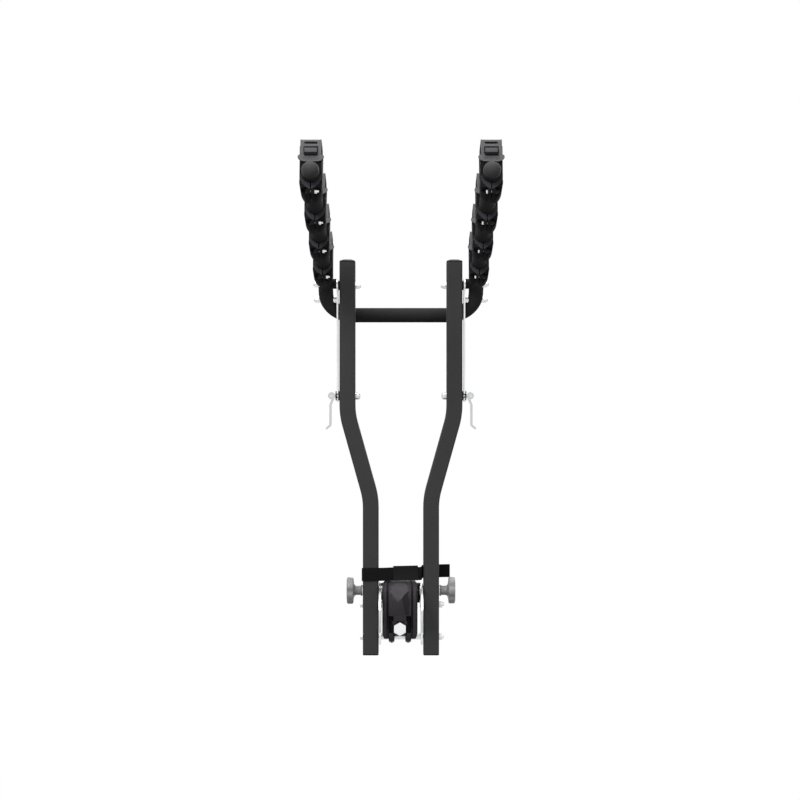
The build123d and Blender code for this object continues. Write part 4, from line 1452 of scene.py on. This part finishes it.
@dataclass(frozen=True)
class Metalwork:
    """The finishes of the CAD nodes that keep their own shape."""

    def finishes(self) -> dict[Finish, tuple[str, ...]]:
        """Which finish goes on which nodes; a star stands for each of the two sides.

        Returns:
            The nodes' names for each finish.
        """
        return {
            Finish.POST: ("*_post",),
            Finish.DOME: ("arm_end_caps",),
            Finish.ARM: ("arm_tube",),
            Finish.PLATE: ("*_arm_plate", "plate_studs"),
            Finish.BOLT: (
                "stud_nuts",
                "arm_pivot_bolts",
                "guide_bolts",
                "knob_bolts",
                "mast_nuts",
                "*_lock_rod",
                "*_dome_nut",
                "*_knob_washer",
                "jaw_pin",
                "tilt_pivot_bolt",
                "tilt_pivot_nut",
                "pivot_tube",
                "pressure_pad",
                "strap_pins",
            ),
            Finish.KEEL: ("cradle_screws",),
            Finish.SPACER: ("stud_spacers", "mast_washers", "lock_saddles"),
            Finish.BLADE: ("*_lock_lever",),
            Finish.BRACKET: ("*_bracket_plate",),
            Finish.CUP: ("ball_cup", "clamp_jaw"),
            Finish.OXIDE: ("cup_screws", "screw_block"),
            Finish.HEAD: ("clamp_screw",),
        }

    def dress(self) -> None:
        """Gives each node its finish."""
        for finish, patterns in self.finishes().items():
            names = [side.named(pattern) for pattern in patterns for side in Side]
            for node in dict.fromkeys(names):
                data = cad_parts[node].data
                data.materials.clear()
                data.materials.append(finish.material())
                LOG.info("%s: %s", node, finish.value.name)


@dataclass(frozen=True)
class Threads:
    """The screw threads that show: on the studs' ends, and on the clamp screw."""

    stud_x: float = 164.3
    stud_places: tuple[Flat, ...] = ((-68.42, 610.9), (-33.83, 583.11))
    stud: RodRow = RodRow(
        reach=3.9, radius=0.4, pitch=1.1, count=3, finish=Finish.BOLT, rings=True
    )
    screw_place: Point = (-2.0, -58.9, -43.0)
    screw: RodRow = RodRow(
        reach=6.9, radius=0.55, pitch=1.5, count=10, finish=Finish.BOLT, rings=True
    )

    def add(self) -> None:
        """Adds the crests on the four studs and on the screw."""
        for side in Side:
            turn = Matrix.Rotation(side.value * math.pi / 2, 4, "Y")
            for row, (y, z) in enumerate(self.stud_places, start=1):
                name = side.named(f"*_stud_thread_{row}")
                crests = Piece(name, self.stud.mesh(), "arms", None, "bolt_zinc")
                crests.add(placed((side.value * self.stud_x, y, z), turn))
        crests = Piece("clamp_screw_thread", self.screw.mesh(), "clamp_screw", None, "screw_zinc")
        crests.add(placed(self.screw_place, Matrix.Rotation(-math.pi / 2, 4, "X")))


@dataclass(frozen=True)
class Chevron:
    """The raised wings of the V on a cradle's front: flush above, and proud at the lower edge, in a
    paler copy of the cradle plastic as painted light.
    """

    front: float = 23.0
    proud: float = 1.9
    sunk: float = 0.1
    upper: tuple[Flat, ...] = ((0.9, -15.4), (8.0, -12.4), (12.6, -7.4), (15.6, 0.5))
    lower: tuple[Flat, ...] = ((0.9, -26.4), (8.0, -21.5), (13.6, -16.2), (17.2, -8.6))
    relief: tuple[Flat, ...] = ((0.0, 0.1), (0.86, 0.94), (1.0, 0.7))

    def mesh(self) -> bpy.types.Mesh:
        """Builds both wings in the cradle's frame.

        Returns:
            The wings.
        """

        def pair(side: Side, ends: tuple[Flat, Flat], place: Flat) -> Pair:
            """The points on a wing's front and back.

            Args:
                side: the wing's side.
                ends: the upper and the lower end of the row.
                place: the share of the way down, and how proud it is.

            Returns:
                The two points.
            """
            (x0, z0), (x1, z1) = ends
            share, rise = place
            x, z = side.value * (x0 + (x1 - x0) * share), z0 + (z1 - z0) * share
            front = Vector((x, -self.front - self.proud * rise, z))
            return front, Vector((x, self.sunk - self.front, z))

        shape = Shape()
        for side in Side:
            shape.wall(list(zip(self.upper, self.lower)), self.relief, partial(pair, side))
        return shape.mesh(crease=30.0)


@dataclass(frozen=True)
class NubFace:
    """The pale face of the nub that a strap hooks over: painted light, in a paler copy of the cradle
    plastic.
    """

    front: float = 29.5
    half_width: float = 10.1
    low: float = 34.4
    high: float = 41.6
    crown: float = 0.35
    rim: float = 0.05
    sunk: float = 0.2

    def mesh(self) -> bpy.types.Mesh:
        """Builds the slightly domed face in the cradle's frame.

        Returns:
            The face.
        """

        def pair(rise: float, share: float) -> Pair:
            """The points on the face and behind it.

            Args:
                rise: the share of the height.
                share: the place across, from -1 to 1.

            Returns:
                The two points.
            """
            crown = self.rim if rise in (0.0, 1.0) or abs(share) == 1.0 else self.crown
            x, z = share * self.half_width, self.low + (self.high - self.low) * rise
            return Vector((x, -self.front - crown, z)), Vector((x, self.sunk - self.front, z))

        shape = Shape()
        shape.wall((0.0, 0.12, 0.5, 0.88, 1.0), (-1.0, -0.9, 0.0, 0.9, 1.0), pair)
        return shape.mesh()


@dataclass(frozen=True)
class Cradles:
    """The eight moulded cradles, with rounded edges, a raised V and a pale nub face in front; the V and
    the nub face carry painted light.
    """

    line: ArmLine

    def add(self) -> None:
        """Replaces each cradle with its rounded copy, and adds its V and the nub's face."""
        for side, number in product(Side, range(1, self.line.count + 1)):
            node, slot = side.named(f"*_cradle_{number}"), "cradle_plastic"
            place = self.line.place(side, number)
            RoundedNode(0.7).add(node, "arms", Finish.CRADLE, slot)
            # The V's wings carry painted light: a paler copy of the cradle plastic.
            Piece(node + "_chevron", Chevron().mesh(), "arms", Finish.WING, slot).add(place)
            # The nub's face carries painted light: a pale copy of the cradle plastic.
            Piece(node + "_nub", NubFace().mesh(), "arms", Finish.NUB, slot).add(place)


def seen_directly(tree: NodeTree) -> Socket:
    """1 for the rays that show a background: the camera's, and those in gloss and in glass."""
    rays = tree.node("ShaderNodeLightPath", output="Is Camera Ray")
    return (rays + rays.beside("Is Glossy Ray") + rays.beside("Is Transmission Ray")).at_most(1.0)


@dataclass(frozen=True)
class Studio:
    """The floor, the lamps, the pale surroundings and the camera of the photograph."""

    distance: float = 3.4
    eye_height: float = 0.39
    post_plane: float = -0.048
    side_step: float = -0.0018
    lens: float = 80.0
    floor_height: float = -0.42
    floor_size: float = 14.0
    floor_glow: float = 0.86
    floor_paint: float = 0.86
    floor_bounce: float = 0.16
    light_below: float = 0.02
    light_above: float = 0.8

    @staticmethod
    def _blend(tree: NodeTree, share: Socket, first: Socket, second: Socket) -> Socket:
        """Mixes two shaders by a share from 0 to 1."""
        return tree.node("ShaderNodeMixShader", {0: share, 1: first, 2: second})

    def floor(self) -> None:
        """Lays a plain pale floor, which runs into the pale surroundings."""
        work = bmesh.new()
        bmesh.ops.create_grid(work, x_segments=1, y_segments=1, size=self.floor_size)
        mesh = bpy.data.meshes.new("studio_floor")
        work.to_mesh(mesh)
        work.free()
        mesh.transform(Matrix.Translation((0.0, 0.0, self.floor_height)))
        tree = ShaderTree("pale_floor")
        pale, dim = (
            tree.node("ShaderNodeBsdfDiffuse", {"Color": (level, level, level, 1.0)})
            for level in (self.floor_paint, self.floor_bounce)
        )
        bounced = tree.node("ShaderNodeLightPath", output="Is Diffuse Ray")
        paint = self._blend(tree, bounced, pale, dim)
        glow = tree.node("ShaderNodeEmission", {"Color": (1.0, 1.0, 1.0, 1.0)})
        far = (tree.axis("Y") * 0.5).at_least(0.0).at_most(1.0 - self.floor_glow)
        mixed = self._blend(tree, seen_directly(tree) * (far + self.floor_glow), paint, glow)
        tree.add("ShaderNodeOutputMaterial", {"Surface": mixed})
        mesh.materials.append(tree.material)
        link("studio_floor", mesh)

    def surroundings(self) -> None:
        """Fills the world with soft light, and shows it white to the camera and to gloss."""
        world = bpy.data.worlds.new("pale_studio")
        world.use_nodes = True
        bpy.context.scene.world = world
        tree = NodeTree(world.node_tree)
        below, above, white = (
            tree.node("ShaderNodeBackground", {"Color": (1.0, 1.0, 1.0, 1.0), "Strength": level})
            for level in (self.light_below, self.light_above, 1.0)
        )
        direction = tree.node("ShaderNodeTexCoord", output="Generated")
        rise = tree.node("ShaderNodeSeparateXYZ", {0: direction}, "Z")
        soft = self._blend(tree, rise * 0.5 + 0.5, below, above)
        mixed = self._blend(tree, seen_directly(tree), soft, white)
        tree.add("ShaderNodeOutputWorld", {"Surface": mixed})

    def lamp(self, name: str, place: Point, aim: Point, size: float, power: float) -> None:
        """Hangs one square soft box.

        Args:
            name: what the box does.
            place: where it hangs, in metres.
            aim: what it points at.
            size: the length of its side.
            power: its power in watts.
        """
        data = bpy.data.lights.new(name + "_soft_box", "AREA")
        data.shape = "SQUARE"
        data.size = size
        data.energy = power
        made = link(data.name, data)
        made.location = place
        made.rotation_euler = (Vector(aim) - Vector(place)).to_track_quat("-Z", "Y").to_euler()

    def lamps(self) -> None:
        """Hangs the key, the fill, the top and the back soft boxes."""
        self.lamp("key", (-1.4, -2.4, 2.3), (0.0, -0.2, 0.35), 1.4, 52.0)
        self.lamp("fill", (2.0, -2.6, 1.0), (0.0, -0.2, 0.3), 1.8, 10.0)
        self.lamp("top", (0.0, -0.3, 2.6), (0.0, -0.2, 0.3), 1.8, 34.0)
        self.lamp("back", (0.6, 2.4, 1.6), (0.0, 0.0, 0.3), 1.6, 24.0)

    def camera(self) -> None:
        """Sets the camera square on to the posts, level, at the photograph's height."""
        data = bpy.data.cameras.new("photo_camera")
        data.lens = self.lens
        data.sensor_width = 36.0
        data.clip_end = 60.0
        made = link("photo_camera", data)
        made.location = (self.side_step, self.post_plane - self.distance, self.eye_height)
        made.rotation_euler = (math.pi / 2, 0.0, 0.0)
        bpy.context.scene.camera = made

    def build(self) -> None:
        """Builds the whole studio."""
        bpy.context.scene.view_settings.view_transform = "Standard"
        self.floor()
        self.surroundings()
        self.lamps()
        self.camera()


def main() -> None:
    """Builds and dresses the rack, then the studio round it."""
    logging.basicConfig(level=logging.INFO, format="%(message)s")
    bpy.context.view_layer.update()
    Metalwork().dress()
    line = ArmLine()
    Threads().add()
    for caps in ("post_top_caps", "post_bottom_caps"):
        RoundedNode(1.0, 3).add(caps, "mast", Finish.CAP, "cap_plastic")
    Cradles(line).add()
    strap = RubberStrap(line)
    knob = ClampKnob()
    for side in Side:
        knob.add(side)
        for number in range(1, line.count + 1):
            strap.add(side, number)
    SafetyWebbing().add()
    ClampLever().add()
    Studio().build()


if __name__ == "__main__":
    main()
